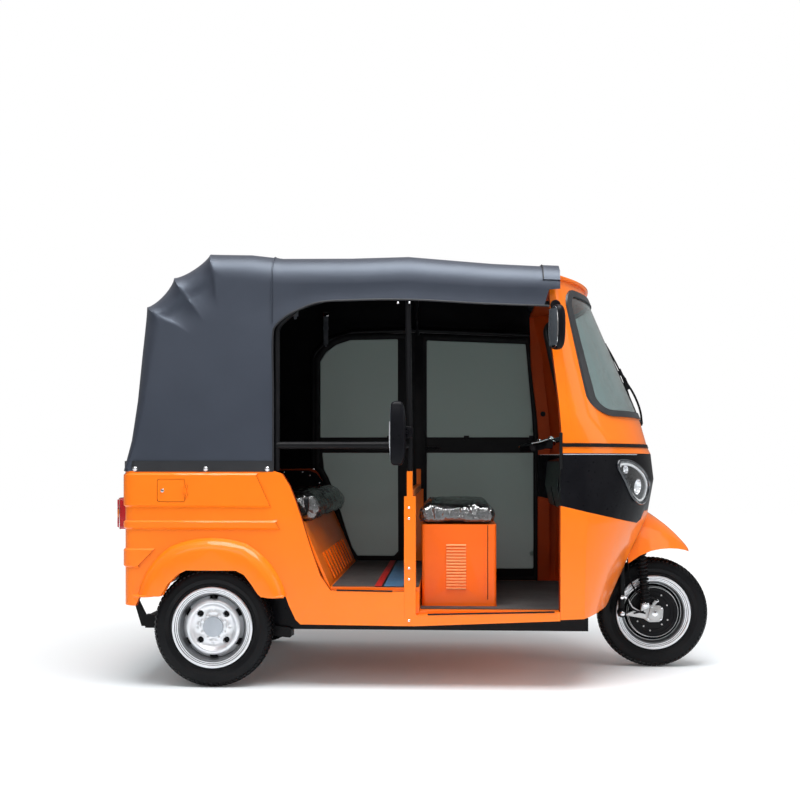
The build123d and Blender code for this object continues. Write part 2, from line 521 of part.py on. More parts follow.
# wheel opening under the beak
skin -= prism([(-235, 200), (235, 200), (205, 640), (-205, 640)], 1600, 2100, radius=[0, 0, 60, 60], plane="YZ")
mask_line = [(1400, 812), (1524, 789), (1869, 707), (1893, 722), (1914, 758), (2100, 758)]
upper = skin & prism([(1400, SEAM_Z + FIT), (2100, SEAM_Z + FIT), (2100, 1900), (1400, 1900)], -800, 800)
mask = skin & prism(mask_line + [(2100, SEAM_Z - FIT), (1400, SEAM_Z - FIT)], -800, 800)
lower = skin & prism([(x, z - 2 * FIT) for x, z in mask_line] + [(2100, 200), (1400, 200)], -800, 800)
lamp_outline = [(1752, 971), (1790, 988), (1876, 959), (1929, 894), (1929, 846), (1901, 787), (1844, 812),
                (1815, 862), (1785, 920)]
lamp_cut = [prism(lamp_outline, *sorted((s * 250, s * 700)), radius=12) for s in (-1, 1)]
for cut in lamp_cut:
    mask -= cut
write("cowl_upper", upper)
write("cowl_mask", mask)
write("cowl_lower", lower)
lens_skin = (cowl_solid(3.0, 0) - cowl_solid(-2.0, 60, 250, COWL_TOP))
lens_outline = [(x, z) for x, z in lamp_outline]
lenses = []
for s in (-1, 1):
    lenses.append(lens_skin & prism(lens_outline, *sorted((s * 250, s * 700)), radius=12))
write("headlamp_lenses", join(*lenses))
bowls = []
for s in (-1, 1):
    zone = prism([(x - (x - 1845) * 0.004, z - (z - 885) * 0.004) for x, z in lamp_outline],
                 *sorted((s * 200, s * 700)), radius=12)
    behind = cowl_solid(-2.3, 0) - cowl_solid(-70, 60, 250, COWL_TOP)
    hollow = cowl_solid(-1, 0) - cowl_solid(-60, 60, 250, COWL_TOP)
    cup = (behind & zone) - (hollow & prism([(x - (x - 1845) * 0.09, z - (z - 885) * 0.09) for x, z in lamp_outline],
                                            *sorted((s * 200, s * 700)), radius=10))
    bowls.append(cup)
write("headlamp_bowls", join(*bowls))

seal_lip = (cowl_solid(SEAL_T, 0) - cowl_solid(0.1, 60, 250, COWL_TOP + 20)) & (window_prism(SEAL_W) - window_prism(-SEAL_W))
seal_web = (cowl_solid(0.1, 0) - cowl_solid(-COWL_T, 60, 250, COWL_TOP + 20)) & (window_prism(-0.1) - window_prism(-SEAL_W))
write("windshield_seal", seal_lip + seal_web)
glass = (cowl_solid(-2.0, 0) - cowl_solid(-2.0 - GLASS_T, 60, 250, COWL_TOP + 20)) & window_prism(-SEAL_W - 0.1)
write("windshield", glass)
trim = (cowl_solid(4.0, 0) - cowl_solid(0.1, 60, 250, COWL_TOP + 20)) & ahead
write("cowl_trim", trim & block(1400, 2100, -700, 700, 1044, 1060))

visor = Solid.make_loft([cowl_section(COWL_TOP + z, *COWL[-1][1:], off, 0)
                         for z, off in ((0.3, 1), (4, 15), (13, 16), (18, 4))], ruled=True)
write("visor", visor & block(HEM_FRONT + 6, 2000, -700, 700, 1700, 1900))


# beak over the front wheel
def beak(off):
    rows = [(1852, 815, 232, 512), (1905, 785, 214, 545), (1963, 750, 190, 566), (2012, 718, 165, 573), (2060, 682, 136, 574),
            (2102, 645, 106, 570), (2140, 606, 72, 562), (2160, 583, 48, 556), (2172, 566, 24, 550)]
    wires = []
    for x, top, half, low in rows:
        t, h = top - off, half - off
        shoulder = low + (t - low) * 0.55
        low -= off
        edges = [Line((x, -h, low), (x, h, low)), Line((x, h, low), (x, h * 0.78, shoulder)),
                 ThreePointArc((x, h * 0.78, shoulder), (x, 0, t), (x, -h * 0.78, shoulder)),
                 Line((x, -h * 0.78, shoulder), (x, -h, low))]
        wires.append(Wire([e.edge() for e in edges]))
    return Solid.make_loft(wires, ruled=True)


fender = beak(0) - beak(9).moved(Location((-6, 0, -1))) - cowl_solid(0.3, 60, 150)
fender -= block(1700, 1900, -400, 400, 300, 512)
write("front_fender", fender.solids().sort_by(SortBy.VOLUME)[-1])

# ---- front well: black sheet around the wheel ------------------------------
well = prism([(-228, 345), (228, 345), (200, 632), (-200, 632)], TOE_X + SHEET + FIT, 1790, plane="YZ")
well -= prism([(-220, 300), (220, 300), (192, 624), (-192, 624)], TOE_X + SHEET + 9, 1900, plane="YZ")
well -= rod((axis_at(500), 0, 500), (axis_at(800), 0, 800), COLUMN_D + 24)
well = well & cowl_solid(-COWL_T - 1, 0, 250)
write("front_well", well)

# ---- dash ------------------------------------------------------------------
dash = prism([(1540, 762), (1600, 762), (1640, 985), (1600, 1000), (1530, 985), (1518, 860)], -330, 330, radius=10)
dash -= rod((axis_at(600), 0, 600), (axis_at(1100), 0, 1100), COLUMN_D + 70)
dash -= block(1500, RAIL_X1 + FIT, -NECK_Y - FIT, NECK_Y + FIT, 700, 860 + FIT)
dash -= block(1600, 1760, -NECK_Y - FIT, NECK_Y + FIT, 700, 900)
write("dash_housing", dash)

# ---- steering --------------------------------------------------------------
COLUMN_TOP = 1092.0
crown = block(1818, 1950, -SPRING_Y - 14, SPRING_Y + 14, CROWN_Z - 16, CROWN_Z + 16)
fork = join(crown, rod((axis_at(CROWN_Z), 0, CROWN_Z), (axis_at(COLUMN_TOP), 0, COLUMN_TOP), COLUMN_D))
for s in (-1, 1):
    fork += rod((1846, s * LEG_Y, CROWN_Z), (LINK_X, s * LEG_Y, LINK_Z - 18), LEG_D)
    fork -= rod((LINK_X, s * 40, LINK_Z), (LINK_X, s * 140, LINK_Z), 18 + 2 * FIT)
    fork += rod((1930, s * SPRING_Y, CROWN_Z), (1932, s * SPRING_Y, CROWN_Z - 34), 28)
write("steering_fork", fork)
links = []
for s in (-1, 1):
    y0, y1 = sorted((s * (TYRE_W / 2 + 2), s * (LEG_Y - LEG_D / 2 - 1)))
    link = prism([(LINK_X - 20, LINK_Z - 18), (WHEELBASE + 26, TYRE_R - 26), (WHEELBASE + 26, TYRE_R + 24),
                  (1958, TYRE_R + 62), (1930, TYRE_R + 40), (LINK_X - 20, LINK_Z + 18)], y0, y1, radius=12)
    link += rod((LINK_X, s * (LEG_Y + LEG_D / 2 + 5), LINK_Z), (LINK_X, s * (TYRE_W / 2 + 4), LINK_Z), 18)
    link += rod((1952, s * (TYRE_W / 2 + 4), 304), (1952, s * (SPRING_Y + 26), 304), 14)
    links.append(link)
axle = rod((WHEELBASE, -TYRE_W / 2 - 22, TYRE_R), (WHEELBASE, TYRE_W / 2 + 22, TYRE_R), FORK_AXLE_D)
write("front_links", join(*links, axle))
springs = []
for s in (-1, 1):
    low, top = Vector(1952, s * SPRING_Y, 304), Vector(1932, s * SPRING_Y, CROWN_Z - 34.6)
    body = rod(low, top, SPRING_D)
    springs.append(body - rod((1952, s * 60, 304), (1952, s * 160, 304), 14 + 2 * FIT))
write("front_springs", join(*springs))

BAR_D = 24.0
top_x = axis_at(COLUMN_TOP)
half_bar = [(top_x, 0, COLUMN_TOP + 2), (top_x - 6, -90, COLUMN_TOP + 6), (top_x - 90, -230, COLUMN_TOP - 8),
            (1405, -385, 1046)]
bar = join(pipe(half_bar, BAR_D, 40), mirrored(pipe(half_bar, BAR_D, 40)))
grip = rod((1405, -385, 1046), (1450, -350, 1055), 34)
bar += both(grip)
lever = pipe([(1500, -300, 1068), (1475, -345, 1082), (1400, -410, 1062)], 10, 20)
bar += both(join(lever, rod((1500, -305, 1060), (1500, -290, 1084), 20)))
cluster = prism([(top_x - 40, COLUMN_TOP - 6), (top_x + 34, COLUMN_TOP - 2), (top_x + 40, COLUMN_TOP + 50),
                 (top_x - 30, COLUMN_TOP + 62)], -85, 85, radius=14)
write("handlebar", join(bar, cluster) - rod((axis_at(900), 0, 900), (axis_at(COLUMN_TOP), 0, COLUMN_TOP), COLUMN_D + 0.0))

# ---- wiper and mirrors -----------------------------------------------------
g0, g1 = Vector(1925, 0, 1180), Vector(1672, 0, COWL_TOP)
along = (g1 - g0).normalized()
out = Vector(along.Z, 0, -along.X)


def on_glass(t, y, off):
    p = g0 + along * t + out * off
    return (p.X, y, p.Z)


wiper = join(rod(on_glass(-22, 40, -16), on_glass(-22, 40, 26), 26), rod(on_glass(-22, 40, 20), on_glass(190, 30, 22), 10),
             rod(on_glass(60, 26, 16), on_glass(400, 20, 14), 9))
wiper -= cowl_solid(FIT, 0) + (cowl_solid(SEAL_T + FIT, 0) & window_prism(SEAL_W + FIT))
write("wiper", wiper)
MIRROR_Y0, MIRROR_Y1 = 650.0, 745.0
mirror_shell = prism([(-MIRROR_Y1, 1462), (-MIRROR_Y0, 1450), (-MIRROR_Y0 - 4, 1636), (-MIRROR_Y1 + 6, 1630)],
                     1450, 1503, radius=22, plane="YZ")
mirror_shell = mirror_shell & prism([(1453, 1624), (1464, 1638), (1482, 1638), (1494, 1612), (1502, 1540), (1499, 1472),
                                     (1486, 1450), (1466, 1450), (1455, 1490)], -800, -600, radius=9)
mirror_arm = pipe([(1490, -560, 1560), (1492, -660, 1560)], 14)
mirror_arm -= cowl_solid(0.3, 30)
wing = join(mirror_shell, mirror_arm)
LEFT_MIRROR = 66.0        # the left mirror stands further forward, clear of the open door
left_wing = join(mirror_shell.moved(Location((LEFT_MIRROR, 0, 0))),
                 pipe([(1508, -552, 1560), (1492 + LEFT_MIRROR, -660, 1560)], 14))
left_wing = mirrored(left_wing - cowl_solid(0.3, 30))
post_mirror = prism([(768, 975), (840, 967), (853, 1000), (850, 1225), (835, 1236), (775, 1228), (764, 1190)],
                    -SIDE_Y - 92, -SIDE_Y - 34, radius=12)
post_arm = pipe([(846, -SIDE_Y - 40, 1107), (856, -BOW_Y - TUBE_D / 2 - FIT, 1107)], 14)
write("mirrors", join(wing, left_wing, post_mirror, post_arm))

# ---- canopy ----------------------------------------------------------------
# side silhouette: x, z, inward direction, depth of the rounding at the side
LINE = [
    (-402, 941, 1, 0, 30), (-371, 1074, 1, -0.05, 45), (-347, 1247, 1, -0.1, 60), (-327, 1462, 1, -0.15, 80),
    (-307, 1665, 0.8, -0.6, 110), (-252, 1705, 0.6, -0.8, 118), (-185, 1794, 0.6, -0.8, 120),
    (-114, 1826, 0.5, -0.85, 120), (-22, 1897, 0.3, -0.95, 122), (160, 1891, 0, -1, 125), (300, 1874, 0, -1, 125),
    (850, 1878, 0, -1, 125), (1217, 1844, 0, -1, 118), (CANOPY_FRONT, 1826, 0, -1, 112),
]
STATIONS = [(-SIDE_Y, 1.0), (-590, 0.33), (-500, 0.0), (-260, -0.24), (0, -0.33), (260, -0.24), (500, 0.0),
            (590, 0.33), (SIDE_Y, 1.0)]


def canopy_solid(inset, low, front):
    wires = []
    for y, depth in STATIONS:
        points = []
        for x, z, nx, nz, drop in LINE:
            size = math.hypot(nx, nz)
            d = drop * depth + inset
            points.append(Vector(x + nx / size * d, 0, z + nz / size * d))
        points[-1] = Vector(front, 0, points[-1].Z)
        points[0] = Vector(points[0].X, 0, low)
        points.append(Vector(front, 0, low))
        yy = y - inset if y > 0 else y + inset
        if abs(y) < 600 and y != 0:
            yy = y - (inset * 0.6 if y > 0 else -inset * 0.6)
        if y == 0:
            yy = 0
        wires.append(Wire.make_polygon([Vector(p.X, yy, p.Z) for p in points], close=True))
    return Solid.make_loft(wires, ruled=True)


hem = [(HEM_X, 800), (HEM_X, 1549), (291, 1578), (316, 1600), (350, 1622), (391, 1640), (430, 1656), (473, 1667),
       (597, 1674), (843, 1675), (1195, 1655), (HEM_FRONT, 1643), (HEM_FRONT, COWL_TOP + 22), (1700, COWL_TOP + 22),
       (1700, 800)]
hood = canopy_solid(0, BELT_Z + 0.5, CANOPY_FRONT) - canopy_solid(CANOPY_T, BELT_Z - 60, CANOPY_FRONT - 14)
hood -= prism(hem, -900, 900)
write("canopy", hood)

# tube frame under the canopy
RAIL_FRONT_X = 1456.0
rail_line = [(283, BOW_Y, BELT_Z + FIT), (283, BOW_Y, 1566), (374, BOW_Y, 1648), (500, BOW_Y, 1686),
             (850, BOW_Y, 1694), (1300, BOW_Y - 8, 1672), (RAIL_FRONT_X, 566, 1660)]
frame_tubes = []
for s in (-1, 1):
    frame_tubes.append(pipe([(x, s * y, z) for x, y, z in rail_line], TUBE_D, 60))


def bow(foot_x, row, diameter):
    """A hoop from belt to belt that follows one row of the canopy's silhouette."""
    x, z, nx, nz, drop = row
    size = math.hypot(nx, nz)
    room = CANOPY_T + diameter / 2 + 5

    def at(y, depth):
        d = drop * depth + room
        return (x + nx / size * d, y, z + nz / size * d)

    half = [(foot_x, -BOW_Y, BELT_Z + FIT), (foot_x, -BOW_Y, BELT_Z + 60), at(-BOW_Y + 3, 0.85), at(-470, 0.05),
            at(-235, -0.17)]
    return pipe(half + [(px, -py, pz) for px, py, pz in reversed(half)], diameter, 50)


frame_tubes.append(bow(859, LINE[11], TUBE_D))
for foot_x, row in [(60, LINE[8]), (-70, LINE[6]), (-200, LINE[4])]:
    frame_tubes.append(bow(foot_x, row, 20.0))
frame_tubes.append(rod((283, -BOW_Y, 1052), (856, -BOW_Y, 1052), 32))
write("canopy_frame", join(*frame_tubes))

# ---- seats and trim --------------------------------------------------------
box = block(BOX_X0, BOX_X1, -BOX_Y, BOX_Y, FRONT_FLOOR_Z, BOX_Z)
box = box.fillet(14, box.edges().filter_by(Axis.Z))
for s in (-1, 1):
    box -= block(1182, 1185, *sorted((s * (BOX_Y - 2), s * (BOX_Y + 2))), FRONT_FLOOR_Z + 20, BOX_Z + 2)
SLATS, SLAT_Z0, SLAT_PITCH = 15, 424.0, 13.0
for k in range(SLATS):
    z = SLAT_Z0 + k * SLAT_PITCH
    box += prism([(-BOX_Y - 4, z), (-BOX_Y + 1, z - 1), (-BOX_Y + 1, z + 8)], 1016, 1103, plane="YZ")
write("driver_seat_box", box)
cushion = block(BOX_X0 - 8, BOX_X1 + 2, -BOX_Y, BOX_Y, BOX_Z + FIT, BOX_Z + FIT + DRIVER_CUSHION_T)
cushion = cushion.fillet(22, cushion.edges())
write("driver_cushion", cushion)
bench = prism([(SEAT_REAR_X, SEAT_Z + FIT), (RISER_TOP + BENCH_FRONT - 20, SEAT_Z + FIT),
               (RISER_TOP + BENCH_FRONT, SEAT_Z + 60), (RISER_TOP + BENCH_FRONT - 30, SEAT_Z + BENCH_CUSHION_T + 12),
               (SEAT_REAR_X, SEAT_Z + BENCH_CUSHION_T - 10)], -BENCH_Y, BENCH_Y, radius=20)
write("passenger_cushion", bench)
back = prism([(SEAT_REAR_X - 12, SEAT_Z + FIT), (SEAT_REAR_X - 12 - BACK_T, SEAT_Z + FIT),
              (SEAT_REAR_X - 70 - BACK_T, SEAT_Z + BACK_H), (SEAT_REAR_X - 70, SEAT_Z + BACK_H)],
             -BENCH_Y, BENCH_Y, radius=28)
write("passenger_backrest", back)
trim_y = SIDE_Y - SIDE_T
board = prism([(-60, 722), (385, 722), (338, 868), (300, 915), (262, 932), (-60, 932)], -trim_y + FIT, -trim_y + 6 + FIT, radius=8)
write("inner_trims", both(board))

# ---- left doors ------------------------------------------------------------
DOOR_T = 26.0
door_y0, door_y1 = SIDE_Y - DOOR_T, SIDE_Y


def door(outline, holes, frame_r):
    leaf = prism(outline, door_y0, door_y1, radius=frame_r)
    panes = []
    for hole, r in holes:
        leaf -= prism(hole, door_y0 - 5, door_y1 + 5, radius=r)
        leaf -= prism(grow(hole, 6), door_y0 + 9, door_y0 + 15, radius=r)
        panes.append(prism(grow(hole, 5.9), door_y0 + 9.1, door_y0 + 14.9, radius=r))
    return leaf, join(*panes)


def grow(points, d):
    """Moves a convex outline outwards by about d."""
    cx = sum(p[0] for p in points) / len(points)
    cz = sum(p[1] for p in points) / len(points)
    xs = [p[0] for p in points]
    zs = [p[1] for p in points]
    kx = 1 + 2 * d / (max(xs) - min(xs))
    kz = 1 + 2 * d / (max(zs) - min(zs))
    return [(cx + (x - cx) * kx, cz + (z - cz) * kz) for x, z in points]


DIV_Z0, DIV_Z1 = 1030.0, 1110.0   # bottom and top of the doors' middle rail
rear_leaf, rear_glass = door(
    [(306, 1536), (344, 1592), (404, 1634), (480, 1656), (826, 1660), (826, 432), (545, 432), (522, 439),
     (484, 500), (444, 611), (410, 724), (371, 838), (354, 882), (326, 934), (306, 950)],
    [([(319, DIV_Z1), (319, 1528), (351, 1579), (409, 1620), (484, 1644), (745, 1648), (745, DIV_Z1)], 8),
     ([(330, DIV_Z0), (338, 938), (366, 886), (384, 842), (422, 730), (457, 617), (494, 510), (522, 466), (723, 466),
       (747, 492), (745, DIV_Z0)], 8)],
    4)
front_leaf, front_glass = door(
    [(POST_X1 + 5, 347), (1492, 352), (1492, 1110), (1484, 1240), (1450, 1630), (POST_X1 + 5, 1654)],
    [([(902, DIV_Z1), (1480, DIV_Z1), (1472, 1240), (1438, 1617), (902, 1640)], 8),
     ([(902, 396), (1480, 400), (1480, DIV_Z0), (902, DIV_Z0)], 8)],
    8)
# knuckle hinges: the pin and outer knuckles stay on the body
KNUCKLE_D = 14.0
PIN_D = 8.0
KNUCKLE_H = 22.0
HINGE_Y = SIDE_Y + KNUCKLE_D / 2
FRONT_HINGE_X, REAR_HINGE_X = 1496.0, 830.5


def hinge(x, z, body_x):
    """One hinge at height z: the fixed half on the body and the half on the leaf."""
    fixed = join(
        rod((x, HINGE_Y, z - 1.5 * KNUCKLE_H), (x, HINGE_Y, z - KNUCKLE_H / 2 - FIT), KNUCKLE_D),
        rod((x, HINGE_Y, z + KNUCKLE_H / 2 + FIT), (x, HINGE_Y, z + 1.5 * KNUCKLE_H), KNUCKLE_D),
        rod((x, HINGE_Y, z - 1.5 * KNUCKLE_H), (x, HINGE_Y, z + 1.5 * KNUCKLE_H), PIN_D),
        block(x, body_x + 26, SIDE_Y + FIT, SIDE_Y + 3, z - 1.5 * KNUCKLE_H, z - KNUCKLE_H / 2 - FIT),
        block(x, body_x + 26, SIDE_Y + FIT, SIDE_Y + 3, z + KNUCKLE_H / 2 + FIT, z + 1.5 * KNUCKLE_H),
        block(body_x + 12, body_x + 30, SIDE_Y + FIT, SIDE_Y + 3, z - 1.5 * KNUCKLE_H, z + 1.5 * KNUCKLE_H),
    )
    leaf = join(
        rod((x, HINGE_Y, z - KNUCKLE_H / 2), (x, HINGE_Y, z + KNUCKLE_H / 2), KNUCKLE_D),
        block(x - 34, x, SIDE_Y - 1, SIDE_Y + 3, z - KNUCKLE_H / 2, z + KNUCKLE_H / 2),
    ) - rod((x, HINGE_Y, z - 30), (x, HINGE_Y, z + 30), PIN_D + 2 * RUN)
    return fixed, leaf


hinge_halves = []
for z in (480.0, 1150.0):
    fixed, half = hinge(FRONT_HINGE_X, z, 1500)
    hinge_halves.append(fixed)
    front_leaf += half
for z in (480.0, 780.0):
    fixed, half = hinge(REAR_HINGE_X, z, POST_X0)
    hinge_halves.append(fixed)
    rear_leaf += half
write("door_hinges", join(*hinge_halves))
write("door_rear_left", rear_leaf)
write("door_rear_left_pane", rear_glass)
write("door_front_left", front_leaf)
write("door_front_left_pane", front_glass)

box_all = Compound(children=[s for _, s in NODES]).bounding_box()
print("nodes", len(NODES), "box", box_all.min, box_all.max, "mid", MID_X)
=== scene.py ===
# %% [markdown]
# # An auto rickshaw, dressed for a studio picture
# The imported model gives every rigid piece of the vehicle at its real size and
# place. This notebook keeps those pieces, gives each one the finish that the
# real thing has, and adds the soft and fine pieces that solids leave out: the
# vinyl canopy with its folds and snaps, tyre treads, coil springs, cushions,
# lamps, screws and door furniture.

# %% Load the frame
import json
import math

import bmesh
import bpy
from mathutils import Matrix, Vector, noise
from mathutils.bvhtree import BVHTree


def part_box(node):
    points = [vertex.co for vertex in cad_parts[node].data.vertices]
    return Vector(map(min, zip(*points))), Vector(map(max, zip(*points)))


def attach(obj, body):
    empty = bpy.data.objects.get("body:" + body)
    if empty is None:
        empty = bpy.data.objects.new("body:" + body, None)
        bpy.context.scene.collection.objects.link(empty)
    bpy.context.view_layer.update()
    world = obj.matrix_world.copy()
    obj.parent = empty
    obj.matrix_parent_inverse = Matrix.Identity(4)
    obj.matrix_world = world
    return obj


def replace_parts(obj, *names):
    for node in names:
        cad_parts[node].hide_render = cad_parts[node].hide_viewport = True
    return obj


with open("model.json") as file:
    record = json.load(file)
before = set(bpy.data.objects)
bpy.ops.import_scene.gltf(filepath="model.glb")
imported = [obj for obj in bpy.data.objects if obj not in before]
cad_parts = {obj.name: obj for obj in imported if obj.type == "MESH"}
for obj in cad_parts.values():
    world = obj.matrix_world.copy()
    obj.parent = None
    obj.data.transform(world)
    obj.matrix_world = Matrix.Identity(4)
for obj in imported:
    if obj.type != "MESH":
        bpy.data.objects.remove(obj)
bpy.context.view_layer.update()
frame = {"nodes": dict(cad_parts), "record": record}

nodes = {name: bpy.data.objects[name] for name in frame["nodes"]}

# %% [markdown]
# ## Where things are
# Lengths are metres. The solids were drawn in millimetres with X counted from
# the rear axle, so one small helper turns such a station into the shared frame.

# %% Stations
MID_X = 0.9095          # the shared frame's origin, ahead of the rear axle
WHEELBASE = 2.0
HALF_TRACK = 0.558
TYRE_R = 0.261
REAR_AXLE = (-MID_X, HALF_TRACK, TYRE_R)
FRONT_AXLE = (WHEELBASE - MID_X, 0.0, TYRE_R)


def at(x, y, z):
    """A point given as millimetres from the rear axle, in metres."""
    return Vector((x / 1000 - MID_X, y / 1000, z / 1000))


# %% [markdown]
# ## Materials
# Every finish is a Principled shader. Noise on Object coordinates breaks up the
# colour and the roughness a little, and a bump at the right scale gives the
# grain: orange peel for paint, leather grain for vinyl, a fine matt for rubber.

# %% A helper that builds one finish
BUMP_DEPTH = 0.002           # height of the grain that a bump of strength 1 stands for
TONE_FROM, TONE_TO = 0.35, 0.68


def add_node(tree, kind, values=()):
    """A shader node whose inputs are set from (name, value) pairs."""
    made = tree.nodes.new("ShaderNode" + kind)
    for socket, value in dict(values).items():
        made.inputs[socket].default_value = value
    return made


def link(tree, source, output, target, socket):
    """Joins one node's output to another node's input."""
    tree.links.new(source.outputs[output], target.inputs[socket])


def new_shader(name, values):
    """A new material, its node tree and its Principled shader with the given inputs."""
    made = bpy.data.materials.new(name)
    made.use_nodes = True
    shader = made.node_tree.nodes["Principled BSDF"]
    for socket, value in values.items():
        shader.inputs[socket].default_value = value
    return made, made.node_tree, shader


def finish(name, colour, other, patch=6.0, rough=(0.3, 0.4), metal=0.0, coat=0.0,
           coat_rough=0.05, bump=(), spec=0.5):
    """Colour drifts between two tones; bump is a list of (scale, strength, kind)."""
    made, tree, shader = new_shader(name, {"Metallic": metal, "Coat Weight": coat,
                                           "Coat Roughness": coat_rough, "Specular IOR Level": spec})
    place = add_node(tree, "TexCoord")
    drift = add_node(tree, "TexNoise", {"Scale": patch, "Detail": 5.0, "Roughness": 0.6})
    link(tree, place, "Object", drift, "Vector")
    ramp = add_node(tree, "ValToRGB")
    for stop, position, tone in zip(ramp.color_ramp.elements, (TONE_FROM, TONE_TO), (colour, other)):
        stop.position = position
        stop.color = (*tone, 1)
    link(tree, drift, "Fac", ramp, "Fac")
    link(tree, ramp, "Color", shader, "Base Color")
    gloss = add_node(tree, "MapRange", {"To Min": rough[0], "To Max": rough[1]})
    fine = add_node(tree, "TexNoise", {"Scale": patch * 5, "Detail": 4.0})
    link(tree, place, "Object", fine, "Vector")
    link(tree, fine, "Fac", gloss, "Value")
    link(tree, gloss, "Result", shader, "Roughness")
    above = None
    for scale, strength, kind in bump:
        if kind == "cells":
            grain, out = add_node(tree, "TexVoronoi", {"Scale": scale}), "Distance"
        else:
            grain, out = add_node(tree, "TexNoise", {"Scale": scale, "Detail": 3.0}), "Fac"
        link(tree, place, "Object", grain, "Vector")
        push = add_node(tree, "Bump", {"Strength": strength, "Distance": BUMP_DEPTH})
        link(tree, grain, out, push, "Height")
        if above:
            link(tree, above, "Normal", push, "Normal")
        above = push
    if above:
        link(tree, above, "Normal", shader, "Normal")
    return made


# %% The opaque finishes
paint_orange = finish("paint_orange", (1.0, 0.203, 0.006), (0.98, 0.190, 0.005), 3.0, (0.28, 0.38),
                      coat=0.5, coat_rough=0.05, bump=[(320, 0.03, "noise")], spec=0.2)
# a dark red copy of the orange: painted shade for the inner faces of the cowl and body panels
paint_shade_inside = finish("paint_shade_inside", (0.42, 0.048, 0.003), (0.36, 0.040, 0.003), 3.0, (0.42, 0.55),
                     bump=[(320, 0.05, "noise")], spec=0.2)
# a deeper red copy of the orange: painted shade for the driver's seat box
paint_shaded = finish("paint_shaded", (0.98, 0.150, 0.004), (0.90, 0.130, 0.004), 2.0, (0.34, 0.44),
                      coat=0.3, coat_rough=0.1, bump=[(320, 0.04, "noise")], spec=0.25)
paint_black = finish("paint_black", (0.005, 0.005, 0.006), (0.009, 0.009, 0.010), 9.0, (0.30, 0.44),
                     coat=0.0, bump=[(260, 0.06, "noise")], spec=0.12)
plastic_black = finish("plastic_black", (0.004, 0.004, 0.0055), (0.007, 0.007, 0.009), 12.0, (0.24, 0.34),
                       bump=[(900, 0.06, "noise")], spec=0.1)
rubber_black = finish("rubber_black", (0.006, 0.006, 0.007), (0.011, 0.011, 0.012), 15.0, (0.42, 0.6),
                      bump=[(700, 0.1, "noise")], spec=0.12)
seal_grey = finish("seal_grey", (0.020, 0.021, 0.024), (0.030, 0.031, 0.035), 15.0, (0.34, 0.46),
                   bump=[(700, 0.08, "noise")], spec=0.5)
mat_grey = finish("mat_grey", (0.055, 0.055, 0.056), (0.085, 0.084, 0.083), 8.0, (0.6, 0.8),
                  bump=[(420, 0.25, "cells")], spec=0.3)
tyre_black = finish("tyre_black", (0.0035, 0.0035, 0.0045), (0.006, 0.006, 0.007), 10.0, (0.32, 0.44),
                    bump=[(500, 0.12, "noise")], spec=0.15)
steel_silver = finish("steel_silver", (0.74, 0.75, 0.78), (0.80, 0.81, 0.83), 14.0, (0.30, 0.38),
                      metal=0.7, coat=0.2, bump=[(60, 0.02, "noise")])
# darker steel: painted shade on the rims' inner barrel
steel_painted_shade = finish("steel_painted_shade", (0.20, 0.205, 0.215), (0.26, 0.265, 0.275), 14.0, (0.28, 0.36),
                     metal=0.85, bump=[(60, 0.02, "noise")])
alloy_cast = finish("alloy_cast", (0.46, 0.46, 0.46), (0.6, 0.6, 0.6), 20.0, (0.32, 0.5), metal=0.85,
                    bump=[(650, 0.25, "noise")])
mirror_grey = finish("mirror_grey", (0.062, 0.070, 0.080), (0.070, 0.079, 0.090), 6.0, (0.08, 0.12),
                     spec=0.6)
chrome = finish("chrome", (0.8, 0.8, 0.82), (0.86, 0.86, 0.87), 6.0, (0.05, 0.1), metal=1.0)
lens_red = finish("lens_red", (0.42, 0.004, 0.01), (0.5, 0.006, 0.012), 30.0, (0.1, 0.16), coat=1.0,
                  coat_rough=0.03)
canopy_vinyl = finish("canopy_vinyl", (0.025, 0.028, 0.040), (0.033, 0.037, 0.051), 2.5, (0.34, 0.44),
                      bump=[(1400, 0.16, "cells"), (70, 0.05, "noise")], spec=0.7)
# a blue tint on the vinyl's reflections: a painted bluish cast in the shoulder's highlight
canopy_vinyl.node_tree.nodes["Principled BSDF"].inputs["Specular Tint"].default_value = (0.72, 0.84, 1.0, 1)
# near black for the hood's inner faces: painted shade under the hood
canopy_inside_shade = finish("canopy_inside_shade", (0.003, 0.003, 0.0035), (0.005, 0.005, 0.006), 6.0, (0.7, 0.85),
                      bump=[(900, 0.25, "cells")], spec=0.05)
seat_vinyl = finish("seat_vinyl", (0.010, 0.011, 0.013), (0.018, 0.019, 0.022), 8.0, (0.34, 0.48),
                    bump=[(900, 0.3, "cells")])
# a pale cream copy of the orange: painted highlight on the seat box's louvres
paint_highlight = finish("paint_highlight", (1.0, 0.46, 0.20), (1.0, 0.42, 0.17), 10.0, (0.25, 0.35), coat=0.4,
                     bump=[(320, 0.03, "noise")])
strap_grey = finish("strap_grey", (0.050, 0.056, 0.066), (0.075, 0.082, 0.094), 30.0, (0.45, 0.6),
                    bump=[(1500, 0.3, "cells")], spec=0.3)
hem_vinyl = finish("hem_vinyl", (0.014, 0.015, 0.018), (0.022, 0.023, 0.027), 6.0, (0.36, 0.46),
                   bump=[(1400, 0.16, "cells")], spec=0.4)
cap_grey = finish("cap_grey", (0.40, 0.44, 0.49), (0.45, 0.49, 0.54), 20.0, (0.4, 0.5),
                  bump=[(800, 0.08, "noise")])
lens_amber = finish("lens_amber", (0.75, 0.16, 0.01), (0.8, 0.2, 0.015), 30.0, (0.1, 0.16), coat=1.0,
                    coat_rough=0.03)
band_red = finish("band_red", (0.42, 0.01, 0.008), (0.5, 0.015, 0.01), 12.0, (0.45, 0.6),
                  bump=[(500, 0.2, "cells")])
band_blue = finish("band_blue", (0.05, 0.14, 0.26), (0.07, 0.18, 0.32), 12.0, (0.45, 0.6),
                   bump=[(500, 0.2, "cells")])


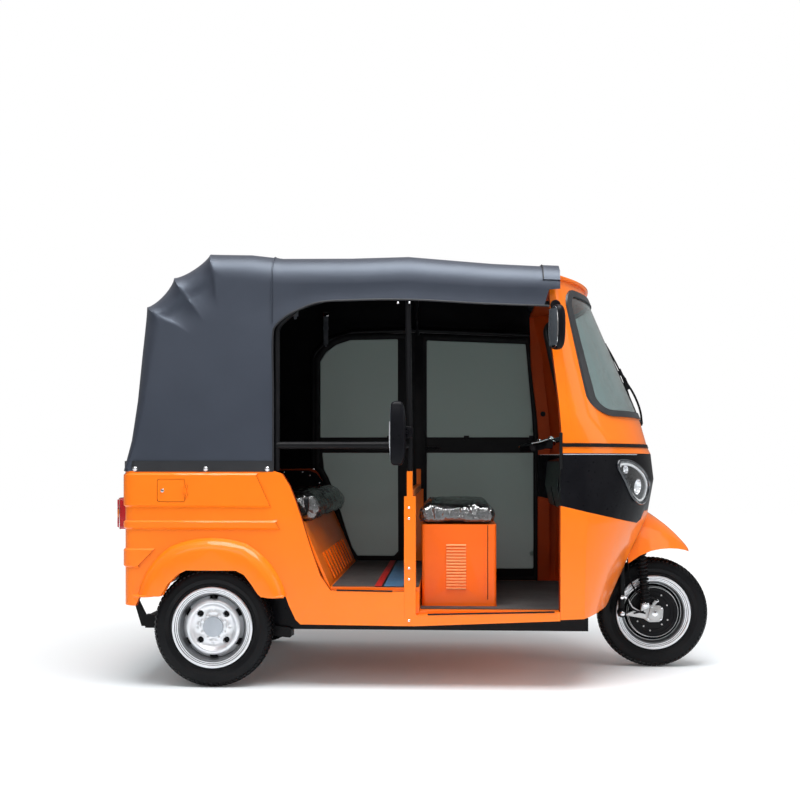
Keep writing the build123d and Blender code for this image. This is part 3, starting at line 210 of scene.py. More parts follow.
# %% Glass, film and tinted panes
def glass(name, colour, rough, through, alpha=1.0, ior=1.45):
    """Clear plastics and glass bend light (through = 1); tinted panes only let some of it pass (alpha)."""
    return new_shader(name, {"Base Color": (*colour, 1), "Roughness": rough, "Transmission Weight": through,
                             "IOR": ior, "Alpha": alpha})[0]


glass_clear = glass("glass_clear", (0.46, 0.54, 0.54), 0.0, 1.0, ior=1.5)
glass_tint = glass("glass_tint", (0.180, 0.275, 0.240), 0.24, 0.0, alpha=0.80)
lens_clear = glass("lens_clear", (0.97, 0.98, 0.99), 0.0, 1.0, ior=1.3)
clear_film = glass("clear_film", (0.96, 0.97, 0.98), 0.05, 1.0, ior=1.75)

# %% Dress the carried-over pieces
finishes = {"paint_orange": paint_orange, "paint_black": paint_black, "plastic_black": plastic_black,
            "rubber_black": rubber_black, "mat_grey": mat_grey, "tyre_black": tyre_black,
            "steel_silver": steel_silver, "alloy_cast": alloy_cast, "lens_red": lens_red,
            "canopy_vinyl": canopy_vinyl, "seat_vinyl": seat_vinyl, "glass_clear": glass_clear,
            "glass_tint": glass_tint, "lens_clear": lens_clear}
for part in frame["record"]["subparts"]:
    piece = nodes[part["node"]]
    piece.data.materials.clear()
    piece.data.materials.append(finishes[part["material_slot"]])
nodes["windshield_seal"].data.materials[0] = seal_grey
# the seat box gets the shaded copy of the orange: painted shade
nodes["driver_seat_box"].data.materials[0] = paint_shaded


def shade_inside(node, look, middle):
    """Paints shade on the faces that look towards the cab's middle: they get a second, darker finish."""
    mesh = nodes[node].data
    mesh.materials.append(look)
    for face in mesh.polygons:
        if Vector(face.normal).dot(Vector(face.center) - middle) < 0:
            face.material_index = 1


# the inner faces of these panels get painted shade
for node in ("cowl_upper", "cowl_lower", "side_panel_right", "side_panel_left", "rear_panel"):
    shade_inside(node, paint_shade_inside, at(900, 0, 900))

# %% [markdown]
# ## Small helpers
# Most fine pieces are built the same way: a bmesh is filled with primitives,
# closed, shaded by angle and then handed to the body that carries it.

# %% From bmesh to finished piece
def settle(bm, name, looks, body="body", sharp=32.0):
    """Turns a bmesh into a piece with outward faces that rides one body."""
    bmesh.ops.recalc_face_normals(bm, faces=bm.faces)
    mesh = bpy.data.meshes.new(name)
    bm.to_mesh(mesh)
    bm.free()
    for look in looks if isinstance(looks, (list, tuple)) else [looks]:
        mesh.materials.append(look)
    mesh.shade_smooth()
    mesh.set_sharp_from_angle(angle=math.radians(sharp))
    piece = bpy.data.objects.new(name, mesh)
    bpy.context.collection.objects.link(piece)
    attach(piece, body)
    return piece


def pointing(axis):
    """A rotation that turns +Z to the given axis."""
    return Vector((0, 0, 1)).rotation_difference(Vector(axis).normalized()).to_matrix().to_4x4()


def paint(faces, slot):
    """Gives the faces one of the piece's finishes."""
    for face in faces:
        face.material_index = slot


def faces_at(verts):
    """Every face that meets one of the vertices."""
    return {face for vert in verts for face in vert.link_faces}


def round_edges(bm, faces, width):
    """Bevels every edge of the faces; the new faces keep their neighbours' finish."""
    if width:
        edges = {edge for face in faces for edge in face.edges}
        bmesh.ops.bevel(bm, geom=list(edges), offset=width, segments=3, profile=0.5, affect="EDGES",
                        clamp_overlap=True, material=-1)


def add_block(bm, low, high, bevel=0.0, turn=None, slot=0):
    """A box between two corners, with rounded edges."""
    low, high = Vector(low), Vector(high)
    shape = Matrix.Translation((low + high) / 2)
    if turn is not None:
        shape = shape @ turn
    shape = shape @ Matrix.Diagonal((*(high - low), 1))
    faces = faces_at(bmesh.ops.create_cube(bm, size=1.0, matrix=shape)["verts"])
    paint(faces, slot)
    round_edges(bm, faces, bevel)


def add_disc(bm, centre, axis, radius, depth, sides=24, bevel=0.0, slot=0):
    """A cylinder whose middle is at centre."""
    shape = Matrix.Translation(Vector(centre)) @ pointing(axis)
    made = bmesh.ops.create_cone(bm, cap_ends=True, segments=sides, radius1=radius, radius2=radius,
                                 depth=depth, matrix=shape)["verts"]
    faces = faces_at(made)
    paint(faces, slot)
    round_edges(bm, [face for face in faces if len(face.verts) > 4], bevel)


def add_dome(bm, centre, axis, radius, height, slot=0):
    """A rounded head, as a rivet or snap has."""
    shape = Matrix.Translation(Vector(centre)) @ pointing(axis) @ Matrix.Diagonal((1, 1, height / radius, 1))
    made = bmesh.ops.create_uvsphere(bm, u_segments=16, v_segments=10, radius=radius, matrix=shape)["verts"]
    paint(faces_at(made), slot)


def add_turned(bm, profile, centre, axis, steps=48, slot=0):
    """Spins a closed half profile of (radius, along) points about the axis."""
    spin = Matrix.Translation(Vector(centre)) @ pointing(axis)
    ring = [bm.verts.new(spin @ Vector((r, 0, a))) for r, a in profile]
    edges = [bm.edges.new((ring[k - 1], ring[k])) for k in range(len(ring))]
    made = bmesh.ops.spin(bm, geom=ring + edges, cent=Vector(centre), axis=Vector(axis).normalized(),
                          angle=2 * math.pi, steps=steps, use_merge=True)
    verts = {vert for vert in ring if vert.is_valid}
    verts |= {last for last in made["geom_last"] if isinstance(last, bmesh.types.BMVert)}
    seen = set(verts)
    stack = list(verts)
    while stack:
        for edge in stack.pop().link_edges:
            for vert in edge.verts:
                if vert not in seen:
                    seen.add(vert)
                    stack.append(vert)
    paint(faces_at(seen), slot)


def add_plate(bm, outline, y0, y1, bevel=0.0, slot=0):
    """A flat plate: an outline of stations (x, z), as thick as from y0 to y1 (all in millimetres)."""
    y0, y1 = sorted((y0, y1))
    near = [bm.verts.new(at(x, y0, z)) for x, z in outline]
    far = [bm.verts.new(at(x, y1, z)) for x, z in outline]
    faces = [bm.faces.new(near), bm.faces.new(far[::-1])]
    for k in range(len(near)):
        faces.append(bm.faces.new((near[k - 1], far[k - 1], far[k], near[k])))
    paint(faces, slot)
    round_edges(bm, faces, bevel)


def add_skin(bm, rows):
    """Faces between rows of vertices that are all as long."""
    return [bm.faces.new((low[k], low[k + 1], high[k + 1], high[k]))
            for low, high in zip(rows, rows[1:]) for k in range(len(low) - 1)]


def add_pressing(bm, centre, out, radii, steps, shape, thick):
    """A round pressing on a polar grid; shape(r, angle) gives each point's height and its slot."""
    rows = []
    for r in radii:
        row = []
        for k in range(steps):
            angle = 2 * math.pi * k / steps
            spoke = Vector((math.cos(angle), 0, math.sin(angle)))
            row.append(bm.verts.new(centre + spoke * r + out * shape(r, angle)[0]))
        rows.append(row)
    made = []
    for n in range(len(radii) - 1):
        for k in range(steps):
            face = bm.faces.new((rows[n][k - 1], rows[n][k], rows[n + 1][k], rows[n + 1][k - 1]))
            face.material_index = shape((radii[n] + radii[n + 1]) / 2, 2 * math.pi * (k - 0.5) / steps)[1]
            made.append(face)
    bmesh.ops.recalc_face_normals(bm, faces=made)
    if made[0].normal.dot(out) < 0:
        bmesh.ops.reverse_faces(bm, faces=made)
    bmesh.ops.solidify(bm, geom=made, thickness=thick)


def between(table, r):
    """Reads a height off a table of (radius, height) rows."""
    for (r0, h0), (r1, h1) in zip(table, table[1:]):
        if r <= r1:
            return h0 + (h1 - h0) * max(0.0, (r - r0) / (r1 - r0))
    return table[-1][1]


def tube(name, runs, radius, look, body="body", smooth=True, loop=False, sides=4, flat=None):
    """Round bar along each run of points; smooth runs bend through their points."""
    curve = bpy.data.curves.new(name, "CURVE")
    curve.dimensions = "3D"
    curve.bevel_depth = radius
    curve.bevel_resolution = sides
    curve.use_fill_caps = True
    curve.resolution_u = 6
    for run in runs:
        spline = curve.splines.new("BEZIER")
        spline.bezier_points.add(len(run) - 1)
        spline.use_cyclic_u = loop
        for knot, point in zip(spline.bezier_points, run):
            knot.co = point
            knot.handle_left_type = knot.handle_right_type = "AUTO" if smooth else "VECTOR"
    holder = bpy.data.objects.new(name, curve)
    bpy.context.collection.objects.link(holder)
    bpy.context.view_layer.update()
    mesh = bpy.data.meshes.new_from_object(holder.evaluated_get(bpy.context.evaluated_depsgraph_get()))
    bpy.data.objects.remove(holder)
    bpy.data.curves.remove(curve)
    if flat:
        mesh.transform(flat)
    bm = bmesh.new()
    bm.from_mesh(mesh)
    bpy.data.meshes.remove(mesh)
    bmesh.ops.remove_doubles(bm, verts=bm.verts, dist=1e-6)
    return settle(bm, name, look, body, 40.0)


def both_sides(points):
    """The run and its mirror image across the vehicle's middle."""
    return [[Vector(p) for p in points], [Vector((p[0], -p[1], p[2])) for p in points]]


# %% [markdown]
# ## Softer edges on the solid pieces
# Pressed sheet and moulded plastic have no knife edges. A weld joins the faces
# of each solid, a small bevel rounds the sharp edges so that they catch the
# light, and weighted normals keep the big faces flat.

# %% Bevel the carried-over solids
def soften(name, width):
    """Joins a solid's faces and rounds its sharp edges by the width."""
    piece = nodes[name]
    weld = piece.modifiers.new("weld", "WELD")
    weld.merge_threshold = 0.00002
    round_off = piece.modifiers.new("edges", "BEVEL")
    round_off.width = width
    round_off.segments = 2
    round_off.limit_method = "ANGLE"
    round_off.angle_limit = math.radians(35)
    round_off.use_clamp_overlap = True
    keep = piece.modifiers.new("normals", "WEIGHTED_NORMAL")
    keep.keep_sharp = False
    keep.weight = 60


for name, width in {"side_panel_right": 0.0016, "side_panel_left": 0.0016, "rear_fenders": 0.0016,
                    "rear_panel": 0.0015, "rear_hatch": 0.0015, "filler_lid": 0.001, "body_posts": 0.002,
                    "driver_seat_box": 0.003, "cowl_mask": 0.0012, "cowl_lower": 0.0012,
                    "cowl_upper": 0.0012, "visor": 0.001, "front_fender": 0.0012,
                    "door_front_left": 0.0015, "door_rear_left": 0.0015, "windshield_seal": 0.0015,
                    "floor_pan": 0.0015, "dash_housing": 0.003, "mirrors": 0.003}.items():
    soften(name, width)
print("softened")

# %% [markdown]
# ## The canopy
# The hood is vinyl cloth pulled over hoops. Between the hoops at the back it
# sags inwards, so each hoop shows as a pointed fold that runs out over the
# side. It is one grid: its rows follow the outline from the rear belt over the
# roof to the windscreen, and its columns cross from one hem to the other.

# %% Outline, hoops and hems of the cloth
OUTLINE = [   # x, z, inward direction, depth of the rounding towards the sides
    (-402, 941, 1, 0, 30), (-371, 1074, 1, -0.05, 45), (-347, 1247, 1, -0.1, 60), (-327, 1462, 1, -0.15, 80),
    (-307, 1665, 0.8, -0.6, 110), (-185, 1794, 0.6, -0.8, 120), (-22, 1897, 0.3, -0.95, 122),
    (160, 1893, 0.0, -1, 125), (300, 1876, 0, -1, 125), (600, 1874, 0, -1, 125), (850, 1879, 0, -1, 125),
    (1217, 1845, 0, -1, 118), (1440, 1832, 0, -1, 112), (1500, 1829, 0, -1, 112),
]
SAGS = {4: 17.0, 5: 15.0}       # how far the cloth sags after these outline rows
HOOPS = (4, 5, 6)               # outline rows that lie on a hoop
HEM = [(-372, 941), (-60, 941), (270, 941), (270, 1240), (270, 1549), (291, 1578), (316, 1600), (350, 1622),
       (391, 1640), (430, 1656), (473, 1667), (597, 1674), (843, 1675), (1195, 1655), (1462, 1643)]
HALF_W = 626.5


def along_points(points, t):
    """Point at share t of a run, measured along its length."""
    legs = [math.dist(a[:2], b[:2]) for a, b in zip(points, points[1:])]
    want = t * sum(legs)
    for a, b, leg in zip(points, points[1:], legs):
        if want <= leg or b is points[-1]:
            k = min(1.0, want / leg)
            return [p + (q - p) * k for p, q in zip(a, b)]
        want -= leg


def rounding(y):
    """0 on the roof's shoulder, 1 at the side plane, a little below 0 on the crown."""
    a = abs(y) / HALF_W
    if a < 0.8:
        return -0.33 * (1 - (a / 0.8) ** 2)
    k = (a - 0.8) / 0.2
    return 1 - math.sqrt(max(0.0, 1 - k ** 2.2))


def cloth_rows():
    """Outline rows close together, each with its place, inward normal, depth and sag."""
    rows = []
    for k, (a, b) in enumerate(zip(OUTLINE, OUTLINE[1:])):
        steps = max(4, int(math.dist(a[:2], b[:2]) / 11))
        sag = SAGS.get(k, 0.0)
        for step in range(steps):
            t = step / steps
            x, z, nx, nz, depth = (p + (q - p) * t for p, q in zip(a, b))
            size = math.hypot(nx, nz)
            pull = sag * (4 * t * (1 - t)) ** 0.75
            rows.append((x, z, nx / size, nz / size, depth, pull, k + t))
    x, z, nx, nz, depth = OUTLINE[-1]
    rows.append((x, z, nx, nz, depth, 0.0, len(OUTLINE) - 1.0))
    return rows


FOCUS = (5, 1550)      # the folds' lines run towards this point on the side


def side_point(edge, hem, place, t):
    """Curve from the shoulder to the hem, drawn towards the focus near the hoops."""
    ease = min(1.0, max(0.0, (place - 1.2) / 2.2)) * min(1.0, max(0.0, (9.0 - place) / 2.2))
    pull = ease * ease * (3 - 2 * ease)
    control = [(a + b) / 2 * (1 - pull) + f * pull for a, b, f in zip(edge, hem, FOCUS)]
    return [(1 - t) ** 2 * a + 2 * t * (1 - t) * c + t * t * b for a, c, b in zip(edge, control, hem)]


def crease(row):
    """How sharply a hoop's fold stands out at this row: 1 on a hoop, 0 away from it."""
    return max(max(0.0, 1 - abs(row - hoop) / 0.32) ** 2 for hoop in HOOPS)


ROOF_STEPS = 34          # columns from the middle of the roof to its shoulder
SIDE_STEPS = 26          # columns from the shoulder to the hem
CLOTH_W = HALF_W - 1.5
SAG = max(SAGS.values())
rows = cloth_rows()
roof_y = [HALF_W * math.sin(math.pi / 2 * k / ROOF_STEPS) for k in range(-ROOF_STEPS, ROOF_STEPS + 1)]
cloth = bmesh.new()
grid = []
for number, (x, z, nx, nz, depth, pull, place) in enumerate(rows):
    share = number / (len(rows) - 1)
    hem_x, hem_z = along_points(HEM, share)
    line = []
    for side in (-1, 1):
        edge_x, edge_z = x + nx * depth, z + nz * depth
        run = []
        for step in range(SIDE_STEPS, 0, -1):
            t = step / SIDE_STEPS
            px, pz = side_point((edge_x, edge_z), (hem_x, hem_z), place, t)
            if side < 0 and px > 1380:      # below the front flap the door side's curtain is cut back
                px -= (px - 1380) * 0.38 * min(1.0, max(0.0, (1782 - pz) / 14))
            fade = max(0.0, 1 - t * 3.6) ** 1.1
            bow_in = 3.0 * math.sin(math.pi * t) + 22.0 * pull / SAG * fade
            run.append((px, side * (CLOTH_W - bow_in), pz))
        if side < 0:
            line += run
            for y in roof_y:
                round_in = rounding(y)
                hold = 1 - max(0.0, round_in) ** 2
                inward = depth * round_in * (1 - 0.22 * crease(place)) + pull * hold
                tuck = 15.0 * pull / SAG * max(0.0, round_in) ** 1.5
                reach = math.copysign(max(0.0, abs(y) * CLOTH_W / HALF_W - tuck), y)
                line.append((x + nx * inward, reach, z + nz * inward))
        else:
            line += run[::-1]
    grid.append([cloth.verts.new(at(*point)) for point in line])
add_skin(cloth, grid)
for vert in cloth.verts:
    wave = math.sin(vert.co.x * 9.1 + vert.co.z * 4.0) * math.sin(vert.co.z * 7.3 - vert.co.y * 3.1)
    vert.co.y -= math.copysign(1, vert.co.y) * 0.0012 * (1 + wave) * min(1, abs(vert.co.y) * 1.6)
bmesh.ops.recalc_face_normals(cloth, faces=cloth.faces)
front_rows = [[vert.co.copy() for vert in line] for line, row in zip(grid, rows) if row[0] > 1424]
flat_area = sum(face.calc_area() for face in cloth.faces)
bmesh.ops.solidify(cloth, geom=cloth.faces[:], thickness=0.0035)
bmesh.ops.recalc_face_normals(cloth, faces=cloth.faces)
# the cloth's inner faces get the near-black finish: painted shade under the hood
cab_middle = at(600, 0, 1300)
for face in cloth.faces:
    if face.normal.dot(face.calc_center_median() - cab_middle) < 0:
        face.material_index = 1
canopy_cloth = settle(cloth, "canopy_cloth", [canopy_vinyl, canopy_inside_shade], sharp=60)
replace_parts(canopy_cloth, "canopy")
print("canopy cloth", len(canopy_cloth.data.polygons), "area", round(flat_area, 2))


# %% Hem band, piping and snaps
def side_run(points, out):
    """Stations (x, z) as a run along both sides, moved out from the side plane."""
    return both_sides([at(x, -HALF_W - out, z) for x, z in points])


def hem_band(bm, side):
    """A doubled strip of vinyl along the belt, wrapped round the rear corner."""
    run = [(272, HALF_W + 1.5), (-335, HALF_W + 1.5), (-372, HALF_W - 14), (-394, HALF_W - 50),
           (-400, HALF_W - 90)]
    for ends in zip(run, run[1:]):
        first, last = [[bm.verts.new(at(x, side * (y - deep), z))
                        for deep, z in ((0, 938), (0, 984), (4, 984), (4, 938))] for x, y in ends]
        for k in range(4):
            bm.faces.new((first[k], first[k - 1], last[k - 1], last[k]))
        bm.faces.new(first)
        bm.faces.new(last[::-1])


band = bmesh.new()
for side in (-1, 1):
    hem_band(band, side)
add_block(band, at(-405, -HALF_W + 88, 938), at(-400, HALF_W - 88, 984), 0.001)
settle(band, "canopy_hem_band", hem_vinyl)
door_edge = [(270, 943), (270, 1240), (270, 1540), (276, 1560), (291, 1578), (316, 1600), (350, 1622),
             (391, 1640), (430, 1656), (473, 1667), (597, 1674), (843, 1675), (1195, 1655), (1453, 1644)]
tube("canopy_edge_binding", side_run(door_edge, -1.0), 0.0042, hem_vinyl)
seam_run = [at(264, y, 1881 - 125 * rounding(y)) for y in roof_y]
seam_side = [at(264, HALF_W - 1, z) for z in (1700, 1640, 1580)]
full_seam = [Vector((p[0], -p[1], p[2])) for p in reversed(seam_side)] + seam_run[1:-1] + seam_side
tube("canopy_piping", [full_seam], 0.0032, canopy_vinyl)
snaps = bmesh.new()
spots = [(at(x, side * (HALF_W + 1.5), 950), (0, side, 0), 0.0002)
         for x in (-333, -23, 245) for side in (-1, 1)]
spots += [(at(-405, y, 950), (-1, 0, 0), 0.0005) for y in (-380, -130, 130, 380)]
for spot, facing, gap in spots:
    add_dome(snaps, spot, facing, 0.0085, 0.005)
    add_disc(snaps, spot + Vector(facing) * gap, facing, 0.0105, 0.002, bevel=0.0006)
settle(snaps, "canopy_snaps", chrome)

# %% The rolled flap over the windscreen
roll = bmesh.new()
section = [(1436, 1832), (1446, 1842), (1500, 1838), (1514, 1828), (1517, 1806), (1513, 1788), (1500, 1778),
           (1448, 1780), (1438, 1790)]
ROLL_X, ROLL_Z = 1477, 1806      # the middle of the roll's section
ROLL_HALF = 556
previous = None
for k in range(-20, 21):
    y = ROLL_HALF * k / 20
    lift = -118 * rounding(y * 0.985) - 2
    squeeze = 1.0 - 0.25 * abs(k / 20) ** 6
    ring = [roll.verts.new(at(ROLL_X + (x - ROLL_X) * squeeze, y,
                              ROLL_Z + (z - ROLL_Z) * squeeze + lift * (1 if z > ROLL_Z else 0.25)))
            for x, z in section]
    if previous:
        for n in range(len(ring)):
            roll.faces.new((previous[n - 1], previous[n], ring[n], ring[n - 1]))
    else:
        roll.faces.new(ring)
    previous = ring
roll.faces.new(previous[::-1])
front_roll = settle(roll, "canopy_front_roll", canopy_vinyl, sharp=50)
subdivide = front_roll.modifiers.new("soft", "SUBSURF")
subdivide.levels = subdivide.render_levels = 1
flap = bmesh.new()
kept = [k for k, point in enumerate(front_rows[0]) if point.z > 1.750]
patch = [[flap.verts.new(line[k]) for k in kept] for line in front_rows]
add_skin(flap, patch)
bmesh.ops.recalc_face_normals(flap, faces=flap.faces)
if sum(face.normal.z for face in flap.faces) < 0:
    bmesh.ops.reverse_faces(flap, faces=flap.faces)
flap.normal_update()
for vert, out in [(vert, vert.normal.copy()) for vert in flap.verts]:
    vert.co += out * 0.0055
flap_run = [vert.co.copy() for vert in patch[0]]
bmesh.ops.solidify(flap, geom=flap.faces[:], thickness=0.0045)
bmesh.ops.recalc_face_normals(flap, faces=flap.faces)
settle(flap, "canopy_front_flap", canopy_vinyl, sharp=50)
tube("canopy_flap_edge", [flap_run], 0.0024, hem_vinyl)

# %% [markdown]
# ## Tyres
# A turned casing gives the round shoulder and the raised rings of the sidewall.
# The tread is rows of small blocks: one block is placed, tilted to the crown,
# and repeated round the wheel.

# %% Tyre casing and tread blocks
CASING = [(0.1755, 0.034), (0.1785, 0.041), (0.184, 0.0435), (0.1875, 0.0428), (0.190, 0.0455),
          (0.1925, 0.0445), (0.206, 0.0498), (0.2095, 0.0512), (0.212, 0.0503), (0.226, 0.0515),
          (0.238, 0.0495), (0.2475, 0.044), (0.2535, 0.034), (0.2555, 0.017), (0.256, 0.0)]
BEAD = [(0.172, 0.034), (0.172, -0.034)]
TREAD = [   # offset from the middle, block size, tilt, shift along the row, radius of the crown there
    (-0.0405, (0.012, 0.017, 0.009), 34, 0.0, 0.2490), (-0.0195, (0.0135, 0.017, 0.0075), 7, 0.5, 0.2565),
    (0.0, (0.0135, 0.013, 0.007), 0, 0.0, 0.2565),
    (0.0195, (0.0135, 0.017, 0.0075), -7, 0.5, 0.2565), (0.0405, (0.012, 0.017, 0.009), -34, 0.0, 0.2490),
]
BLOCKS = 72              # blocks round each row


def tyre(name, centre, body):
    """A treaded tyre about the centre of its wheel."""
    bm = bmesh.new()
    profile = [(r, -y) for r, y in CASING[:-1]] + CASING[::-1] + BEAD
    add_turned(bm, profile, centre, (0, 1, 0), steps=96)
    for offset, size, tilt, shift, crown in TREAD:
        for n in range(BLOCKS):
            turn = Matrix.Rotation(2 * math.pi * (n + shift) / BLOCKS, 4, "Y")
            lean = Matrix.Rotation(math.radians(tilt), 4, "X")
            skew = Matrix.Rotation(math.radians(14 if offset <= 0 else -14), 4, "Z")
            put = Matrix.Translation(centre) @ turn @ Matrix.Translation((0, offset, crown)) @ lean @ skew
            put = put @ Matrix.Diagonal((*size, 1))
            bmesh.ops.create_cube(bm, size=1.0, matrix=put)
    return settle(bm, name, tyre_black, body, 38)


wheels = {"wheel_front": (Vector(FRONT_AXLE), "front_tyre"),
          "wheel_rear_right": (Vector((REAR_AXLE[0], -REAR_AXLE[1], REAR_AXLE[2])), "rear_right_tyre"),
          "wheel_rear_left": (Vector(REAR_AXLE), "rear_left_tyre")}
for body, (centre, node) in wheels.items():
    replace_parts(tyre(node + "_treaded", centre, body), node)
print("tyres done")

# %% [markdown]
# ## Wheels up close
# A pressed steel wheel shows its hub cap, the embossed pads between the wheel
# nuts' holes and a rubber valve. Its holes and slots are sunk, not cut through,
# and painted black: painted shade where the dark drum would show.

# %% Rolled rims
BARREL = [(0.1340, 0.0), (0.1340, 0.0110), (0.1365, 0.0140), (0.1390, 0.0260), (0.1430, 0.0370),
          (0.1455, 0.0425), (0.1495, 0.0435), (0.1508, 0.0455), (0.1560, 0.0460), (0.1576, 0.0482),
          (0.1630, 0.0488), (0.1650, 0.0518), (0.1690, 0.0534), (0.1735, 0.0530), (0.1765, 0.0500),
          (0.1768, 0.0436), (0.1570, 0.0433), (0.1540, 0.0380), (0.1490, 0.0250), (0.1420, 0.0140),
          (0.1380, 0.0)]
# the black grooves and the darker steel inside r 0.150 are painted shade on the rim's steps and barrel
SHADED_GROOVES = (0.1502, 0.1568, 0.1640)      # radii of the rim's dark lines
for body, (centre, node) in wheels.items():
    rim = bmesh.new()
    add_turned(rim, BARREL + [(r, -y) for r, y in reversed(BARREL[1:-1])], centre, (0, 1, 0), steps=128)
    # faces in the grooves are painted black and the barrel inside them darker: painted shade
    for face in rim.faces:
        r = math.hypot(*(face.calc_center_median() - centre).xz)
        if min(abs(r - edge) for edge in SHADED_GROOVES) < 0.0009:
            face.material_index = 1
        elif r < 0.1500:
            face.material_index = 2
    looks = [steel_silver, paint_black, steel_painted_shade]
    rolled = settle(rim, node.replace("tyre", "rolled_rim"), looks, body, 40)
    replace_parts(rolled, node.replace("tyre", "rim"))

# %% Pressed wheel centres
REAR_DISH = [(0.040, 0.022), (0.046, 0.0225), (0.050, 0.0215), (0.056, 0.0205), (0.066, 0.0196),
             (0.078, 0.0196), (0.086, 0.0210), (0.092, 0.0245), (0.097, 0.0295), (0.101, 0.0335),
             (0.106, 0.0350), (0.112, 0.0345), (0.116, 0.0325), (0.120, 0.0290), (0.126, 0.0200),
             (0.1335, 0.0100)]


def bulge(r, angle, degrees, centre, spread):
    """A soft bump of height 1 that lies at one place on the wheel's face."""
    turn = angle - math.radians(degrees)
    along, across = r * math.cos(turn), r * math.sin(turn)
    return math.exp(-((along - centre) / spread[0]) ** 2 - (across / spread[1]) ** 2)


def ramp_up(value, width):
    """0 below zero, 1 above the width."""
    return min(1.0, max(0.0, value / width))


def off_spoke(angle, degrees):
    """How far an angle is from a spoke's direction, from 0 to pi."""
    return abs((angle - math.radians(degrees) + math.pi) % (2 * math.pi) - math.pi)


def rear_pressing(r, angle):
    """Dished centre with four hand holes, nut pads between them and slots round its edge; the holes and slots
    are sunk and painted black as painted shade.
    """
    high, slot = between(REAR_DISH, r), 0
    for k in range(4):
        turn = angle - math.radians(45 + 90 * k)
        off = math.hypot(r * math.cos(turn) - 0.0805, r * math.sin(turn) * 0.92)
        high += 0.0048 * math.exp(-(off / 0.0185) ** 2)
        sunk = ramp_up(0.0142 - off, 0.0030)
        high -= 0.017 * sunk * sunk * (3 - 2 * sunk)
        # the sunk hole's floor gets the black finish: painted shade
        if off < 0.0122:
            slot = 1
        high += 0.0062 * bulge(r, angle, 90 * k, 0.063, (0.0075, 0.0150))
        high -= 0.0036 * bulge(r, angle, 90 * k, 0.070, (0.0060, 0.0050))
        for lean in (-27, 27):
            high += 0.0034 * bulge(r, angle, 90 * k + lean, 0.054, (0.0060, 0.0055))
    for k in range(6):
        turn = off_spoke(angle, 90 + 60 * k)
        # the slots get the black finish too: painted shade
        if turn < math.radians(7.8) and r > 0.1225:
            slot = 1
        high -= 0.006 * ramp_up(math.radians(8.6) - turn, math.radians(1.6)) * ramp_up(r - 0.1215, 0.002)
    return high, slot


for body, (centre, node) in wheels.items():
    if body == "wheel_front":
        continue
    out = Vector((0, 1 if centre.y > 0 else -1, 0))
    plate = bmesh.new()
    radii = [0.040 + 0.0935 * k / 52 for k in range(53)]
    add_pressing(plate, centre, out, radii, 240, rear_pressing, 0.0035)
    add_disc(plate, centre + out * 0.0265, out, 0.0435, 0.011, sides=64, bevel=0.0022, slot=2)
    valve_foot = centre + Vector((0, 0, 0.1290)) + out * 0.016
    valve_run = (out + Vector((0.25, 0, 0.12))).normalized()
    add_disc(plate, valve_foot + valve_run * 0.012, valve_run, 0.0058, 0.028, sides=18, bevel=0.0015, slot=1)
    add_disc(plate, valve_foot + valve_run * 0.029, valve_run, 0.0042, 0.012, sides=18, bevel=0.001, slot=1)
    settle(plate, node.replace("tyre", "wheel_centre"), [steel_silver, rubber_black, cap_grey], body, 50)
print("rims done")

# %% [markdown]
# ## Front wheel and leading links
# The front disc is painted black inside its bright rim. A cast arm on each side
# carries the axle and the drum brake, with a lever pulled by a cable.

# %% Black front disc, seen from both sides
FRONT_DISH = [(0.014, 0.030), (0.060, 0.030), (0.096, 0.028), (0.100, 0.016), (0.108, 0.013), (0.114, 0.017),
              (0.120, 0.0185), (0.126, 0.016), (0.130, 0.010), (0.1345, 0.008)]


def front_pressing(r, angle):
    """The dished disc with six short slots near its edge."""
    high = between(FRONT_DISH, r)
    for k in range(6):
        ends = ramp_up(math.radians(6.6) - off_spoke(angle, 10 + 60 * k), math.radians(1.6))
        high -= 0.012 * ends * ramp_up(r - 0.1165, 0.0015) * ramp_up(0.1255 - r, 0.0015)
    return high, 0


axle = Vector(FRONT_AXLE)
disc = bmesh.new()
for side in (-1, 1):
    out = Vector((0, side, 0))
    add_pressing(disc, axle, out, [0.014 + 0.1205 * k / 60 for k in range(61)], 144, front_pressing, 0.003)
    # the thin steel-silver beads on the black disc are painted highlights: light lines along its ridges
    for r, high in ((0.1365, 0.0165), (0.1215, 0.0200)):
        add_turned(disc, [(r - 0.0011, high - 0.001), (r + 0.0011, high - 0.001), (r + 0.0008, high + 0.0012),
                          (r - 0.0008, high + 0.0012)], axle, out, steps=96, slot=1)
    add_disc(disc, axle + out * 0.040, out, 0.020, 0.022, sides=40, bevel=0.002, slot=0)
settle(disc, "front_wheel_disc", [paint_black, steel_silver], "wheel_front", 50)

# %% Brake plate with its ribs and studs
brake = bmesh.new()
plate = [(0.012, 0.0), (0.108, 0.0), (0.1150, 0.003), (0.1175, 0.008), (0.1150, 0.012), (0.104, 0.0115),
         (0.102, 0.0135), (0.0985, 0.0135), (0.0965, 0.011), (0.086, 0.011), (0.084, 0.0132), (0.081, 0.0132),
         (0.079, 0.011), (0.050, 0.012), (0.046, 0.018), (0.012, 0.018)]
for side in (-1, 1):
    out = Vector((0, side, 0))
    add_turned(brake, plate, axle + out * 0.0345, out, steps=96)
    # the thin bright ring at the plate's edge is a painted highlight
    add_turned(brake, [(0.1172, 0.004), (0.1190, 0.004), (0.1190, 0.0085), (0.1172, 0.0085)],
               axle + out * 0.0345, out, steps=96, slot=1)
    for degrees, r in ((28, 0.073), (-28, 0.076), (-55, 0.070), (-100, 0.088), (-125, 0.080), (-150, 0.086),
                       (65, 0.09)):
        angle = math.radians(degrees)
        spot = axle + out * 0.0475 + Vector((math.cos(angle), 0, math.sin(angle))) * r
        add_disc(brake, spot, out, 0.0042, 0.004, sides=6, bevel=0.0006, slot=1)
